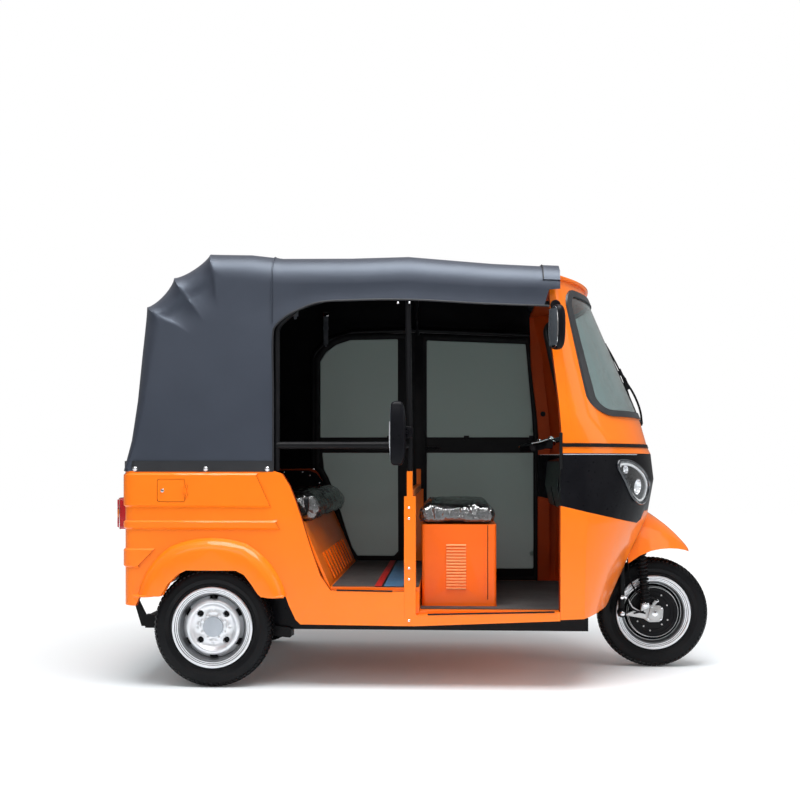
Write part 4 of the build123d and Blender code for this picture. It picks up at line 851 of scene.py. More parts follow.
settle(brake, "front_brake_plate", [paint_black, alloy_cast], "steering", 40)

# %% Cast arms with the axle's housing
arm = bmesh.new()
housing = [(1963, 290), (1984, 300), (2028, 296), (2043, 279), (2040, 236), (2024, 219), (1975, 217),
           (1952, 233)]
boss = [(1978, 284), (1990, 291), (2020, 288), (2032, 276), (2030, 242), (2019, 229), (1982, 228),
        (1966, 240)]
swing_arm = [(1863, 262), (1905, 266), (1966, 284), (1960, 232), (1905, 243), (1863, 249)]
arm_rib = [(1900, 263), (1950, 276), (1950, 268), (1902, 256)]
spring_foot = [(1936, 318), (1960, 318), (1966, 284), (1932, 270)]
brake_lever = [(1988, 296), (2003, 298), (2022, 321), (2016, 327), (2006, 324), (1994, 311)]
for side in (-1, 1):
    out = Vector((0, side, 0))
    for outline, y0, y1, bevel, slot in (
            (housing, 57, 76, 0.004, 0), (boss, 74, 83, 0.004, 0), (swing_arm, 60, 78, 0.005, 0),
            (arm_rib, 77, 81, 0.001, 2), (spring_foot, 70, 96, 0.004, 0)):
        add_plate(arm, outline, side * y0, side * y1, bevel, slot)
    add_dome(arm, at(1841, side * 126, 265), out, 0.0125, 0.008, slot=1)
    for x, y, z, radius, depth, sides, bevel, slot in (
            (1841, 100, 265, 0.019, 0.052, 36, 0.003, 2), (1950, 122, 306, 0.0115, 0.010, 28, 0.003, 1),
            (1950, 98, 306, 0.0070, 0.056, 20, 0, 0), (2000, 85, 261, 0.0150, 0.008, 6, 0.0012, 1),
            (2000, 91, 261, 0.0075, 0.008, 20, 0.001, 1), (1972, 77, 236, 0.0055, 0.006, 6, 0.0008, 1),
            (2030, 77, 232, 0.0055, 0.006, 6, 0.0008, 1), (2034, 77, 286, 0.0055, 0.006, 6, 0.0008, 1),
            (1990, 77, 291, 0.0055, 0.006, 6, 0.0008, 1), (2014, 72, 320, 0.006, 0.014, 16, 0.001, 1)):
        add_disc(arm, at(x, side * y, z), out, radius, depth, sides, bevel, slot)
    add_plate(arm, brake_lever, side * 66, side * 73, bevel=0.0015)
add_disc(arm, axle, (0, 1, 0), 0.0105, 0.116, sides=24, slot=1)
links = settle(arm, "front_link_castings", [alloy_cast, chrome, paint_black], "steering", 40)
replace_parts(links, "front_links")
rods = [[(1853, -96, 362), (1908, -92, 404)], [(1861, -97, 349), (1912, -93, 386)],
        [(1845, -98, 341), (1872, -96, 330), (1893, -94, 292), (1932, -88, 268)]]
tube("front_brake_rods", [[at(*point) for point in run] for run in rods], 0.0034, steel_silver, "steering",
     smooth=False)
cables = [[(2014, -80, 321), (1985, -92, 338), (1930, -99, 352), (1890, -99, 400), (1872, -84, 520)],
          [(1868, -99, 338), (1882, -98, 292), (1912, -94, 274), (1955, -88, 262)]]
tube("front_brake_cable", [[at(*point) for point in run] for run in cables], 0.0042, rubber_black, "steering")
anchor = bmesh.new()
add_disc(anchor, at(1843, -108, 340), (0, -1, 0), 0.0095, 0.012, sides=24, bevel=0.003)
add_plate(anchor, [(1848, 346), (1856, 352), (1868, 338), (1860, 330)], -108, -98, bevel=0.002)
settle(anchor, "brake_anchor", chrome, "steering")
print("front wheel done")

# %% Coil springs over ribbed boots
low_mount, top_mount = (1952, 304), (1932, 551)
coils = []
turns, per_turn = 13.5, 16      # coils of one spring, and points on each coil
for side in (-1, 1):
    run = []
    start = at(low_mount[0], side * 103, low_mount[1] + 20)
    end = at(top_mount[0], side * 103, top_mount[1] + 4)
    for k in range(int(turns * per_turn) + 1):
        t = k / (turns * per_turn)
        angle = 2 * math.pi * turns * t
        run.append(start.lerp(end, t) + Vector((math.cos(angle), math.sin(angle), 0)) * 0.0205)
    coils.append(run)
springs = tube("front_coil_springs", coils, 0.0044, paint_black, "steering", sides=3)
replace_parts(springs, "front_springs")
damper = bmesh.new()
bellow = [(0.006, -0.0085), (0.0150, -0.0085), (0.0185, -0.002), (0.0185, 0.002), (0.0150, 0.0085),
          (0.006, 0.0085)]
for side in (-1, 1):
    low, top = at(low_mount[0], side * 103, low_mount[1]), at(top_mount[0], side * 103, top_mount[1])
    along = (top - low).normalized()
    for k in range(15):
        add_turned(damper, bellow, low + along * (0.024 + 0.0158 * k), along, 24)
    add_disc(damper, low + along * 0.014, along, 0.0235, 0.007, sides=32, bevel=0.002)
    add_disc(damper, top - along * 0.001, along, 0.0240, 0.008, sides=32, bevel=0.002)
    add_turned(damper, [(0.0075, -0.015), (0.0165, -0.015), (0.0165, 0.015), (0.0075, 0.015)], low, (0, 1, 0),
               28, slot=1)
settle(damper, "front_dampers", [rubber_black, steel_silver], "steering")
print("front suspension done")

# %% [markdown]
# ## Lamps
# Behind each clear lens sits a bright bowl, a reflector with its bulb, and a
# light ring that follows the lens' outline. Points on the curved cowl are found
# by casting a ray on to the lens itself.

# %% Rays on to the frame's solids
def tree_of(*names):
    """One search tree over several of the frame's solids."""
    bm = bmesh.new()
    for name in names:
        copy = nodes[name].data.copy()
        copy.transform(nodes[name].matrix_world)
        bm.from_mesh(copy)
        bpy.data.meshes.remove(copy)
    tree = BVHTree.FromBMesh(bm)
    bm.free()
    return tree


nose_tree = tree_of("headlamp_lenses", "cowl_mask", "cowl_upper", "cowl_lower")


def onto(tree, x, z, side, out=0.0):
    """The outermost point at station x and height z on one side, moved out along its face."""
    start = at(x, 0, z)
    start.y = side * 2.0
    hit, normal, _, _ = tree.ray_cast(start, Vector((0, -side, 0)))
    if hit is None:
        raise ValueError(f"nothing is met at {x}, {z}")
    if normal.y * side < 0:
        normal = -normal
    return hit + normal * out, normal


# %% Headlamps
LENS = [(1752, 971), (1790, 988), (1876, 959), (1929, 894), (1929, 846), (1901, 787), (1844, 812),
        (1815, 862), (1785, 920)]
LENS_MID = (1862, 882)
bezel_grey = finish("bezel_grey", (0.012, 0.015, 0.020), (0.018, 0.022, 0.029), 20.0, (0.12, 0.18), coat=0.6)
glow = finish("lamp_white", (0.86, 0.88, 0.9), (0.9, 0.9, 0.92), 20.0, (0.15, 0.22), coat=0.6)


def on_lens(x, z, scale, side, out):
    """A point of the lens' outline, drawn in towards its middle by a scale."""
    mid_x, mid_z = LENS_MID
    return onto(nose_tree, mid_x + (x - mid_x) * scale, mid_z + (z - mid_z) * scale, side, out)[0]


def lens_outline(count):
    """Evenly spread points along the lens' rounded outline."""
    closed = LENS + LENS[:1]
    spread = []
    for (x0, z0), (x1, z1) in zip(closed, closed[1:]):
        spread += [(x0 + (x1 - x0) * k / count, z0 + (z1 - z0) * k / count) for k in range(count)]
    smooth = []
    for k in range(len(spread)):
        near = [spread[(k + step) % len(spread)] for step in (-3, -2, -1, 0, 1, 2, 3)]
        smooth.append((sum(x for x, _ in near) / 7, sum(z for _, z in near) / 7))
    return smooth


lamp = bmesh.new()
outline = lens_outline(5)
for side in (-1, 1):
    rings = []
    for scale, depth in ((0.95, -0.006), (0.88, -0.012), (0.72, -0.026), (0.50, -0.036), (0.25, -0.041)):
        rings.append([lamp.verts.new(on_lens(x, z, scale, side, depth)) for x, z in outline])
    shell = []
    for ring, deeper in zip(rings, rings[1:]):
        for k in range(len(ring)):
            shell.append(lamp.faces.new((ring[k - 1], ring[k], deeper[k], deeper[k - 1])))
    shell.append(lamp.faces.new(rings[-1]))
    paint(shell, 2)
    bmesh.ops.solidify(lamp, geom=shell, thickness=0.0015)
    middle, facing = onto(nose_tree, 1872, 868, side, -0.014)
    add_turned(lamp, [(0.004, -0.018), (0.020, -0.016), (0.029, -0.006), (0.033, 0.004), (0.0355, 0.004),
                      (0.031, -0.008), (0.020, -0.020), (0.004, -0.022)], middle, facing)
    add_dome(lamp, middle - facing * 0.016, facing, 0.013, 0.020, slot=1)
    small, facing = onto(nose_tree, 1806, 948, side, -0.014)
    add_turned(lamp, [(0.002, -0.010), (0.012, -0.008), (0.018, 0.004), (0.0195, 0.004), (0.013, -0.010),
                      (0.002, -0.012)], small, facing, steps=32)
    add_dome(lamp, small - facing * 0.008, facing, 0.006, 0.008, slot=1)
settle(lamp, "headlamp_reflectors", [chrome, glow, plastic_black], sharp=50)
for label, scale, depth, radius, look, share in (("light_ring", 0.915, -0.0060, 0.0074, glow, 0.86),
                                                 ("bezel", 1.05, 0.0020, 0.0080, bezel_grey, 1.0)):
    last = int(share * len(outline))       # the light ring stays open at its rear end
    runs = [[on_lens(x, z, scale, side, depth) for x, z in outline[:last]] for side in (-1, 1)]
    tube("headlamp_" + label, runs, radius, look, loop=share == 1.0)

# %% Painted highlight along the mask's top edge
# a light-grey bead paints the highlight along the mask's top edge
highlight_runs = [[onto(nose_tree, x, 1012.5, side, 0.0008)[0] for x in range(1512, 1861, 12)]
             for side in (-1, 1)]
tube("mask_top_highlight", highlight_runs, 0.0019, cap_grey)

# %% Tail lamps
tail = bmesh.new()
for side in (-1, 1):
    for k, slot in ((0, 0), (1, 1), (2, 0)):
        low, high = at(-441.5, side * 500, 690 + 43 * k), at(-431, side * 500, 728 + 43 * k)
        low.y, high.y = side * 0.500 - 0.033, side * 0.500 + 0.033
        add_block(tail, low, high, 0.003, slot=slot)
    add_block(tail, at(-432, side * 500 - 39, 681), at(-428, side * 500 + 39, 822), 0.0015, slot=2)
settle(tail, "tail_lamp_lenses", [lens_red, lens_amber, chrome])
print("lamps done")

# %% [markdown]
# ## Doors on the far side
# Each door closes against a round rubber seal. On the middle rail sit the
# window's catches and a sliding bolt, outside a handle.

# %% Post between the doors
far_post = bmesh.new()
add_plate(far_post, [(838, 430), (882, 430), (882, 1668), (838, 1668)], 584, 599, bevel=0.002)
settle(far_post, "far_door_post", paint_black)

# %% Seals, catches and handles
rear_gap = [(303, 946), (303, 1534), (322, 1567), (341, 1591), (372, 1618), (402, 1636), (440, 1650),
            (479, 1660), (640, 1663), (830, 1664), (830, 1000), (830, 428), (543, 428), (519, 436),
            (480, 498), (440, 610), (406, 723), (367, 837), (350, 880), (323, 931)]
front_gap = [(887, 344), (1200, 346), (1496, 348), (1496, 700), (1496, 1110), (1488, 1240), (1453, 1634),
             (1200, 1646), (887, 1657), (887, 1000)]
to_seal = Matrix.Translation((0, 0.589, 0))
flatten = to_seal @ Matrix.Diagonal((1, 0.36, 1, 1)) @ to_seal.inverted()
for label, gap in (("rear", rear_gap), ("front", front_gap)):
    tube(f"door_seal_{label}", [[at(x, 589, z) for x, z in gap]], 0.016, rubber_black, smooth=False,
         loop=True, flat=flatten)
catch = bmesh.new()
for x, z in ((1118, 1105), (1470, 1105)):
    add_block(catch, at(x - 14, 592, z - 8), at(x + 14, 600, z + 16), 0.002)
add_block(catch, at(900, 590, 1046), at(958, 600, 1062), 0.002)
add_disc(catch, at(930, 588, 1054), (1, 0, 0), 0.005, 0.085, bevel=0.001)
for x in (905, 953):
    add_block(catch, at(x - 5, 584, 1044), at(x + 5, 600, 1064), 0.0015)
settle(catch, "door_catches_front", plastic_black, "door_front")
catch = bmesh.new()
add_block(catch, at(686, 592, 1097), at(714, 600, 1121), 0.002)
settle(catch, "door_catch_rear", plastic_black, "door_rear")
for body, middle in (("door_front", 980), ("door_rear", 400)):
    handle = bmesh.new()
    add_block(handle, at(middle - 55, 627, 1050), at(middle + 55, 631, 1084), 0.0015)
    add_block(handle, at(middle - 42, 636, 1060), at(middle + 42, 646, 1074), 0.004)
    for x in (middle - 37, middle + 37):
        add_block(handle, at(x - 6, 629, 1061), at(x + 6, 640, 1073), 0.002)
    settle(handle, body.replace("door_", "door_handle_"), plastic_black, body)
for body, runs in (("door_front", [[(905, 1108), (1478, 1108)], [(905, 1032), (1478, 1032)]]),
                   ("door_rear", [[(322, 1108), (742, 1108)], [(334, 1032), (742, 1032)]])):
    tube(body.replace("door_", "window_channel_"), [[at(x, 603, z) for x, z in run] for run in runs], 0.004,
         rubber_black, body, smooth=False)
print("doors done")

# %% [markdown]
# ## Seats
# The pads are blown up by a cloth simulation from a slightly smaller copy of
# the solid, which gives the crowned faces and drawn-in corners of real foam
# under vinyl. The factory's clear film is still wrapped over them, so a
# crumpled shell with sharp highlights lies over each pad.

# %% Blown-up pads
PUFF_FRAMES = 20
PAD_ROOM = 0.005         # how far the blowing up may carry a pad past its cushion's box


def puffed(name, node, voxel, shrink, cap, back=0.0, front=0.0):
    """A padded copy of a solid, blown up as cloth by cap at most; back and front draw its ends out."""
    low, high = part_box(node)
    low, high = Vector(low), Vector(high)
    middle, size = (low + high) / 2, high - low
    source = nodes[node]
    mesh = source.data.copy()
    mesh.transform(source.matrix_world)
    mesh.transform(Matrix.Translation(middle) @ Matrix.Diagonal((*[1 - 2 * shrink / s for s in size], 1))
                   @ Matrix.Translation(-middle))
    pad = bpy.data.objects.new(name, mesh)
    bpy.context.collection.objects.link(pad)
    remesh = pad.modifiers.new("voxels", "REMESH")
    remesh.mode = "VOXEL"
    remesh.voxel_size = voxel
    relax = pad.modifiers.new("relax", "SMOOTH")
    relax.iterations = 4
    bpy.context.view_layer.update()
    clean = bpy.data.meshes.new_from_object(pad.evaluated_get(bpy.context.evaluated_depsgraph_get()))
    pad.modifiers.clear()
    pad.data = clean
    before = [v.co.copy() for v in clean.vertices]
    cloth_mod = pad.modifiers.new("cloth", "CLOTH")
    how = cloth_mod.settings
    how.quality = 5
    how.mass = 0.3
    how.use_pressure = True
    how.uniform_pressure_force = 4.0
    how.tension_stiffness = how.compression_stiffness = 12.0
    how.bending_stiffness = 0.6
    how.effector_weights.gravity = 0.0
    scene = bpy.context.scene
    scene.frame_start, scene.frame_end = 1, PUFF_FRAMES
    for frame_number in range(1, PUFF_FRAMES + 1):
        scene.frame_set(frame_number)
    blown = bpy.data.meshes.new_from_object(pad.evaluated_get(bpy.context.evaluated_depsgraph_get()))
    pad.modifiers.clear()
    pad.data = blown
    scene.frame_set(1)
    for vert, old in zip(blown.vertices, before):
        move = vert.co - old
        if move.length > cap:
            vert.co = old + move.normalized() * cap
    mesh = pad.data
    for vert in mesh.vertices:
        vert.co.z = max(vert.co.z, low.z + 0.0006)
        vert.co.x = min(max(vert.co.x, low.x - PAD_ROOM), high.x + PAD_ROOM)
        vert.co.y = min(max(vert.co.y, low.y - PAD_ROOM), high.y + PAD_ROOM)
        share = (vert.co.x - low.x) / size.x
        vert.co.x += front * share - back * (1 - share)
    mesh.materials.clear()
    mesh.materials.append(seat_vinyl)
    mesh.shade_smooth()
    round_off = pad.modifiers.new("smooth", "SUBSURF")
    round_off.levels = round_off.render_levels = 1
    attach(pad, "body")
    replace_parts(pad, node)
    print(name, len(mesh.polygons))
    return pad


driver_pad = puffed("driver_seat_pad", "driver_cushion", 0.008, 0.010, 0.016, back=0.020, front=0.004)
bench_pad = puffed("bench_seat_pad", "passenger_cushion", 0.011, 0.012, 0.018, front=0.024)
puffed("bench_back_pad", "passenger_backrest", 0.012, 0.012, 0.018)


# %% Clear film over the pads
FILM_LIFT = 0.004        # how far the film lies off the pad before it is crumpled
FOLD, CREASE, WRINKLE = 0.003, 0.012, 0.006      # heights of wide folds, creases and fine wrinkles


def film_over(name, pad, node, size):
    """Crumpled film: the pad's own skin pushed out by folds that run across it."""
    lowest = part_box(node)[0][2] + 0.0008
    source = pad.evaluated_get(bpy.context.evaluated_depsgraph_get())
    mesh = bpy.data.meshes.new_from_object(source)
    bm = bmesh.new()
    bm.from_mesh(mesh)
    bpy.data.meshes.remove(mesh)
    bm.normal_update()
    shift = {}
    for vert in bm.verts:
        p = vert.co
        fold = noise.noise(Vector((p.x * 9, p.y * 5, p.z * 9)))
        bent = abs(noise.noise(Vector((p.x * 27 + p.z * 22, p.y * 15, p.z * 20 - p.x * 12))))
        fine = abs(noise.noise(Vector((p.x * 60 - p.z * 30, p.y * 44 + p.x * 20, p.z * 52))))
        high = FILM_LIFT + FOLD * fold + CREASE * (0.5 - bent) + WRINKLE * (0.5 - fine)
        shift[vert] = vert.normal * high
    for vert, move in shift.items():
        vert.co += move
        vert.co.z = max(vert.co.z, lowest)
    under = [face for face in bm.faces if face.normal.z < -0.6]
    bmesh.ops.delete(bm, geom=under, context="FACES")
    area = sum(face.calc_area() for face in bm.faces)
    bmesh.ops.solidify(bm, geom=bm.faces[:], thickness=0.0005)
    film = settle(bm, name, clear_film, sharp=180)
    print(name, "film area", round(area, 2), "flat", round(size[0] * size[1], 2))


bpy.context.view_layer.update()
film_over("driver_seat_film", driver_pad, "driver_cushion", (1.15, 0.60))
film_over("bench_seat_film", bench_pad, "passenger_cushion", (1.35, 1.35))
print("seats done")

# %% [markdown]
# ## Mirrors, wiper and the driver's controls
# A mirror head is a ball pressed into a cushion and cut flat where its glass
# lies. The wiper is laid out along the screen's own slope.

# %% Rounded mirror heads, their glasses and mounts
def add_mirror(bm, centre, half, flat_at, power=0.62, swing=Matrix.Identity(3)):
    """A cushion-shaped shell, cut flat on its rear side where the glass lies."""
    ball = bmesh.ops.create_uvsphere(bm, u_segments=40, v_segments=24, radius=1.0)["verts"]
    for vert in ball:
        round_x, round_y, round_z = (math.copysign(abs(c) ** power, c) for c in vert.co)
        x = max(round_x * half[0], -flat_at)
        taper = 1 - 0.10 * (1 - round_z) / 2
        vert.co = Vector(centre) + swing @ Vector((x, round_y * half[1] * taper, round_z * half[2]))


heads = bmesh.new()
glassy = bmesh.new()
pillar_side = tree_of("cowl_upper")
stalks = []
for side, ahead in ((-1, 0.0), (1, 66.0)):       # the far mirror sits further forward
    stalks.append([at(1486 + ahead * 0.4, side * 600, 1560), at(1484 + ahead, side * 660, 1562),
                   at(1480 + ahead, side * 690, 1556)])
    middle = at(1480 + ahead, side * 699, 1544)
    swing = Matrix.Rotation(math.radians(20 if side < 0 else 0), 3, "Z")
    add_mirror(heads, middle, (0.0245, 0.048, 0.094), 0.019, swing=swing)
    for x, z, radius, deep in ((1483 + ahead * 0.6, 1652, 0.022, 0.016),
                               (1486 + ahead * 0.4, 1560, 0.018, 0.030)):
        spot, facing = onto(pillar_side, x, z, side)
        add_disc(heads, spot + facing * (deep / 2 - 0.003), facing, radius, deep, sides=40, bevel=0.004)
    rim_run = []
    for k in range(28):
        angle = 2 * math.pi * k / 28
        across, up = math.cos(angle), math.sin(angle)
        across, up = (math.copysign(abs(share) ** 0.62, share) for share in (across, up))
        rim_run.append(middle + swing @ Vector((-0.0185, across * 0.0425, up * 0.0850)))
    tube("mirror_rim_left" if side > 0 else "mirror_rim_right", [rim_run], 0.0016, chrome, loop=True)
    pane, half = middle + swing @ Vector((-0.020, 0, 0)), Vector((0.0012, 0.038, 0.078))
    add_block(glassy, pane - half, pane + half, 0.001, swing.to_4x4())
post_head = at(808, -690, 1101)
add_mirror(heads, post_head, (0.0365, 0.031, 0.136), 0.026, power=0.55)
add_plate(heads, [(838, 1080), (873, 1085), (873, 1130), (838, 1134)], -640, -612, bevel=0.004)
heads_piece = settle(heads, "mirror_heads", plastic_black, sharp=50)
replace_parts(heads_piece, "mirrors")
add_block(glassy, post_head + Vector((-0.0285, -0.024, -0.112)), post_head + Vector((-0.0258, 0.024, 0.112)),
          0.001)
settle(glassy, "mirror_glasses", mirror_grey)
tube("mirror_stalks", stalks, 0.0068, chrome)
tube("post_mirror_stalk", [[at(856, -606, 1107), at(842, -652, 1107), at(812, -684, 1104)]], 0.007,
     plastic_black)
tube("post_mirror_trim", [[at(783, -700, 1002), at(779, -706, 1060), at(779, -708, 1101),
                           at(780, -706, 1150)]], 0.0042, steel_silver)
print("mirrors done")

# %% Wiper arm, hub and blade
wiper_parts = bmesh.new()
start, end = at(1925, 0, 1180), at(1672, 0, 1768)
along = (end - start).normalized()
lift = Vector((along.z, 0, -along.x))


def on_glass(t, y, off):
    """A point in millimetres up the screen's slope, across it and off its face."""
    point = start + along * (t / 1000) + lift * (off / 1000)
    point.y = y / 1000
    return point


add_disc(wiper_parts, on_glass(-22, 40, 22), lift, 0.0155, 0.012, sides=30, bevel=0.003)
add_dome(wiper_parts, on_glass(-22, 40, 27), lift, 0.011, 0.008)
turn = pointing(along)
for t, y, off, size in ((180, 31, 34, (0.016, 0.018, 0.060)), (225, 28, 31, (0.012, 0.012, 0.070)),
                        (240, 24, 24, (0.012, 0.014, 0.026))):
    middle = on_glass(t, y, off)
    add_block(wiper_parts, middle - Vector(size) / 2, middle + Vector(size) / 2, 0.003, turn)
settle(wiper_parts, "wiper_joints", plastic_black)
for name, radius, look, *runs in (
        ("wiper_arm", 0.0052, paint_black, [(-22, 40, 30), (30, 38, 44), (120, 34, 47), (180, 31, 38)],
         [(180, 31, 38), (215, 28, 35), (245, 25, 27)]),
        ("wiper_bridge", 0.0040, paint_black, [(80, 26.5, 17), (150, 25.5, 24), (240, 24, 28),
                                               (320, 22.5, 24), (385, 21.5, 17)]),
        ("wiper_blade", 0.0055, rubber_black, [(60, 27, 15), (230, 24, 15.5), (400, 21, 15)])):
    tube(name, [[on_glass(*point) for point in run] for run in runs], radius, look)

# %% Handlebar grips, levers and switches
bar = bmesh.new()
for side in (-1, 1):
    inner, outer = at(1450, side * 350, 1055), at(1402, side * 388, 1045)
    along_grip = (outer - inner).normalized()
    length = (outer - inner).length
    for k in range(9):
        add_turned(bar, [(0.0165, -0.0018), (0.0190, -0.0010), (0.0190, 0.0010), (0.0165, 0.0018)],
                   inner + along_grip * (length * (k + 0.5) / 9), along_grip, 24)
    add_dome(bar, outer + along_grip * 0.001, along_grip, 0.0185, 0.008)
    switch, half = at(1474, side * 330, 1062), Vector((0.022, 0.017, 0.022))
    add_block(bar, switch - half, switch + half, 0.006)
    add_disc(bar, at(1487, side * 318, 1082), (0.3, side * 0.6, 0.9), 0.012, 0.022, bevel=0.003, slot=1)
    add_disc(bar, at(1498, side * 300, 1066), (0.2, side, 0.1), 0.010, 0.030, bevel=0.002, slot=1)
add_block(bar, at(1585, -60, 1150), at(1620, 60, 1153), 0.001, slot=2)
settle(bar, "handlebar_fittings", [rubber_black, chrome, glow], "steering")
for name, radius, look, run in (
        ("handlebar_cables", 0.0038, rubber_black, [(1500, 296, 1064), (1556, 240, 1088), (1606, 140, 1092),
                                                    (1630, 60, 1086), (1640, 22, 1074)]),
        ("handlebar_levers", 0.0045, chrome, [(1499, 300, 1068), (1470, 352, 1078), (1432, 392, 1068),
                                              (1392, 420, 1060)])):
    tube(name, [[at(x, s * y, z) for x, y, z in run] for s in (-1, 1)], radius, look, "steering")
print("controls done")

# %% [markdown]
# ## Small fasteners and trim
# Screws, rivets and plugs break up the plain sheets, as they do on a body that
# is bolted together.

# %% Screws, rivets and plugs
bright = bmesh.new()
for z in (784, 738, 525, 478, 301):
    for side in (-1, 1):
        add_dome(bright, at(856, side * 626.5, z), (0, side, 0), 0.0058, 0.0035)
for x in (809, 858):
    add_dome(bright, at(x, -626, 1662), (0, -1, 0), 0.0052, 0.003)
for side in (-1, 1):
    for x, z in ((122, 922), (222, 922), (262, 905), (316, 864), (350, 780)):
        add_dome(bright, at(x, side * 589.8, z), (0, -side, 0), 0.0058, 0.0035)
settle(bright, "body_screws", chrome)
key = bmesh.new()
add_disc(key, at(-210, -638.2, 856.5), (0, -1, 0), 0.0078, 0.003, sides=28, bevel=0.0008, slot=0)
add_block(key, at(-211, -640.2, 852), at(-209, -639.2, 861), 0.0002, slot=1)
settle(key, "filler_lock", [chrome, plastic_black], "lid_filler")
plugs = bmesh.new()
for side in (-1, 1):
    hit, normal, _, _ = pillar_side.ray_cast(at(1528, 0, 1236), Vector((0, side, 0)))
    sunk = -0.001 if normal.y * side > 0 else 0.001
    add_disc(plugs, hit + normal * sunk, normal, 0.014, 0.006, bevel=0.002)
settle(plugs, "pillar_plugs", rubber_black)

# %% Wheel-arch lips and inner wheel panels
arch = [(-330, 404), (-262, 404), (-232, 410), (-212, 430), (-188, 470), (-160, 506), (-130, 524),
        (-95, 531), (0, 533), (95, 531), (125, 525), (152, 510), (178, 480), (205, 436), (224, 412),
        (250, 404), (322, 404)]
tube("wheel_arch_lips", both_sides([at(x, -665, z) for x, z in arch]), 0.0055, paint_orange)
inner = bmesh.new()
panel = [(-180, 440), (-120, 300), (60, 246), (430, 246), (470, 290), (455, 560), (300, 640), (-180, 640)]
for side in (-1, 1):
    add_plate(inner, panel, side * 468, side * 472)
settle(inner, "inner_wheel_panels", plastic_black)

# %% Cowl edge rubber, sill rubber and closing plates
strip = bmesh.new()
for side in (-1, 1):
    add_block(strip, at(1496, side * 627 - 4, 950), at(1509, side * 627 + 4, 1105), 0.002)
settle(strip, "cowl_edge_rubber", rubber_black)
sill_runs = []
for node, first, last, height in (("side_panel_right", 545, 785, 300), ("body_posts", 936, 1480, 320)):
    sill_tree = tree_of(node)      # a ray meets the skin, a second one its top edge
    run = []
    for x in range(first, last + 1, 15):
        skin = sill_tree.ray_cast(at(x, -900, height), Vector((0, 1, 0)))[0]
        top = skin and sill_tree.ray_cast(Vector((skin.x, skin.y + 0.0015, 0.60)), Vector((0, 0, -1)))[0]
        if top:
            run.append(top + Vector((0, -0.001, 0.0015)))
    sill_runs.append(run)
tube("sill_edge_rubber", [run for run in sill_runs if len(run) > 3], 0.0036, rubber_black)
closing = bmesh.new()
for side in (-1, 1):
    add_plate(closing, [(700, 300), (940, 300), (940, 330), (897, 334), (897, 420), (880, 428), (700, 428)],
              side * 603, side * 600, bevel=0.0005)
settle(closing, "sill_closing_plates", paint_orange)

# %% Roof straps, floor bands and the seat box's louvres
strap = bmesh.new()
for side in (-1, 1):
    add_block(strap, at(343, side * 556 - 1.5, 1616), at(369, side * 556 + 1.5, 1790), 0.001)
    for x in (345.5, 366.5):
        add_block(strap, at(x - 1, side * 556 - 2.1, 1618), at(x + 1, side * 556 + 2.1, 1788), 0.0005, slot=2)
    add_block(strap, at(340, side * 556 - 4, 1768), at(372, side * 556 + 4, 1796), 0.003, slot=1)
    add_block(strap, at(341, side * 556 - 3, 1696), at(371, side * 556 + 3, 1712), 0.002)
    add_block(strap, at(350, side * 556 - 4, 1604), at(362, side * 556 + 4, 1620), 0.002)
settle(strap, "roof_straps", [strap_grey, chrome, seal_grey])
bands = bmesh.new()
for x0, x1, slot in ((706, 736, 0), (738, 744, 1), (746, 830, 2)):
    add_block(bands, at(x0, -596, 443.2), at(x1, 560, 445.4), 0.0006, slot=slot)
settle(bands, "floor_bands", [band_red, rubber_black, band_blue])
slats = bmesh.new()
for side in (-1, 1):
    for k in range(15):
        z = 421 + 13.6 * k
        y = side * 466
        ramp = [at(1015, y, z - 5.0), at(1015, y + side * 7.0, z + 1.0), at(1015, y, z + 4.5)]
        ends = [corner + Vector((0.087, 0, 0)) for corner in ramp]
        loop = [slats.verts.new(corner) for corner in ramp + ends]
        for ring in ((0, 1, 2), (5, 4, 3), (0, 3, 4, 1), (1, 4, 5, 2), (2, 5, 3, 0)):
            slats.faces.new([loop[n] for n in ring])
# the louvres' pale finish is a painted highlight on their upward slopes
settle(slats, "seat_box_louvres", paint_highlight)
seam = bmesh.new()
for side in (-1, 1):
    add_block(seam, at(1196, side * 466.2 - 0.8, 372), at(1199, side * 466.2 + 0.8, 700), 0.0002)
settle(seam, "seat_box_seam", rubber_black)
print("trim done")

# %% [markdown]
# ## Studio
# A white floor, one large soft light overhead, one from the near side, one from
# the front and a white surround, so that paint shows long soft reflections.

# %% Floor
sweep = bmesh.new()
bmesh.ops.create_grid(sweep, x_segments=1, y_segments=1, size=14)
floor_mesh = bpy.data.meshes.new("studio_floor")
sweep.to_mesh(floor_mesh)
floor = bpy.data.objects.new("studio_floor", floor_mesh)
bpy.context.collection.objects.link(floor)
floor_look, tree, matt = new_shader("studio_white", {"Base Color": (0.88, 0.93, 0.96, 1), "Roughness": 0.75})
rays = add_node(tree, "LightPath")
white = add_node(tree, "Emission", {"Strength": 1.12})
mix = add_node(tree, "MixShader")
half = add_node(tree, "Math")
half.operation = "MULTIPLY"
place = add_node(tree, "TexCoord")
far = add_node(tree, "VectorMath")
far.operation = "LENGTH"
# shadows stay near the wheels, plain white further out
fade = add_node(tree, "MapRange", {"From Min": 1.35, "From Max": 2.8, "To Min": 0.03, "To Max": 1.0})
for ends in ((place, "Object", far, 0), (far, "Value", fade, "Value"), (rays, "Is Camera Ray", half, 0),
             (fade, 0, half, 1), (half, 0, mix, "Fac"), (matt, 0, mix, 1), (white, 0, mix, 2),
             (mix, 0, tree.nodes["Material Output"], "Surface")):
    link(tree, *ends)
floor.data.materials.append(floor_look)

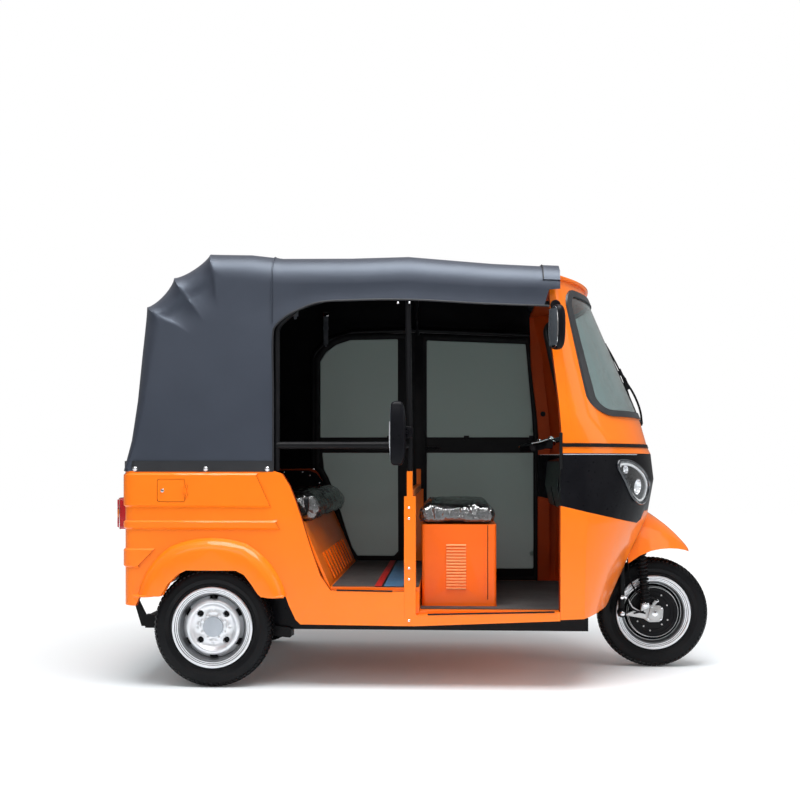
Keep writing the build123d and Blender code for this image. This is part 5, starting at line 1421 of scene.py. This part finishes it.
# %% Surround
world = bpy.data.worlds.new("studio")
bpy.context.scene.world = world
world.use_nodes = True
tree = world.node_tree
ambient = tree.nodes["Background"]
ambient.inputs["Color"].default_value = (1, 1, 1, 1)
height = add_node(tree, "SeparateXYZ")
where = add_node(tree, "TexCoord")
# brighter overhead, dark below the horizon
sky = add_node(tree, "MapRange", {"From Min": -0.3, "From Max": 0.9, "To Min": 0.04, "To Max": 0.62})
backdrop = add_node(tree, "Background", {"Color": (1, 1, 1, 1)})
rays = add_node(tree, "LightPath")
mix = add_node(tree, "MixShader")
seen = add_node(tree, "Math")
seen.operation = "MAXIMUM"
for ends in ((where, "Object", height, 0), (height, "Z", sky, "Value"), (sky, 0, ambient, "Strength"),
             (rays, "Is Camera Ray", seen, 0), (rays, "Is Transmission Ray", seen, 1), (seen, 0, mix, "Fac"),
             (ambient, 0, mix, 1), (backdrop, 0, mix, 2), (mix, 0, tree.nodes["World Output"], "Surface")):
    link(tree, *ends)


# %% Lights
def softbox(name, where, aim, size, power):
    """A rectangular light that is turned to the point it aims at."""
    lamp = bpy.data.lights.new(name, "AREA")
    lamp.shape = "RECTANGLE"
    lamp.size, lamp.size_y = size
    lamp.energy = power
    holder = bpy.data.objects.new(name, lamp)
    bpy.context.collection.objects.link(holder)
    holder.location = where
    holder.rotation_euler = (Vector(aim) - Vector(where)).to_track_quat("-Z", "Y").to_euler()


softbox("overhead", (0.2, -1.6, 5.0), (0.0, -0.2, 0.8), (4.6, 2.8), 330)
softbox("near_side", (-1.6, -5.8, 3.6), (0.0, 0.0, 0.9), (4.5, 2.0), 46)
softbox("front", (5.2, -1.8, 2.6), (0.3, 0.0, 0.9), (2.4, 2.6), 26)

# %% Camera, a metre up beside the vehicle
eye = bpy.data.cameras.new("view")
eye.sensor_width = 36.0
eye.lens = 47.3
eye.shift_y = 0.0754
camera = bpy.data.objects.new("view", eye)
bpy.context.collection.objects.link(camera)
camera.location = (0.1324, -5.1213, 0.987)
camera.rotation_euler = (math.radians(90), 0.0, math.radians(2.856))
bpy.context.scene.camera = camera
bpy.context.scene.view_settings.view_transform = "Standard"
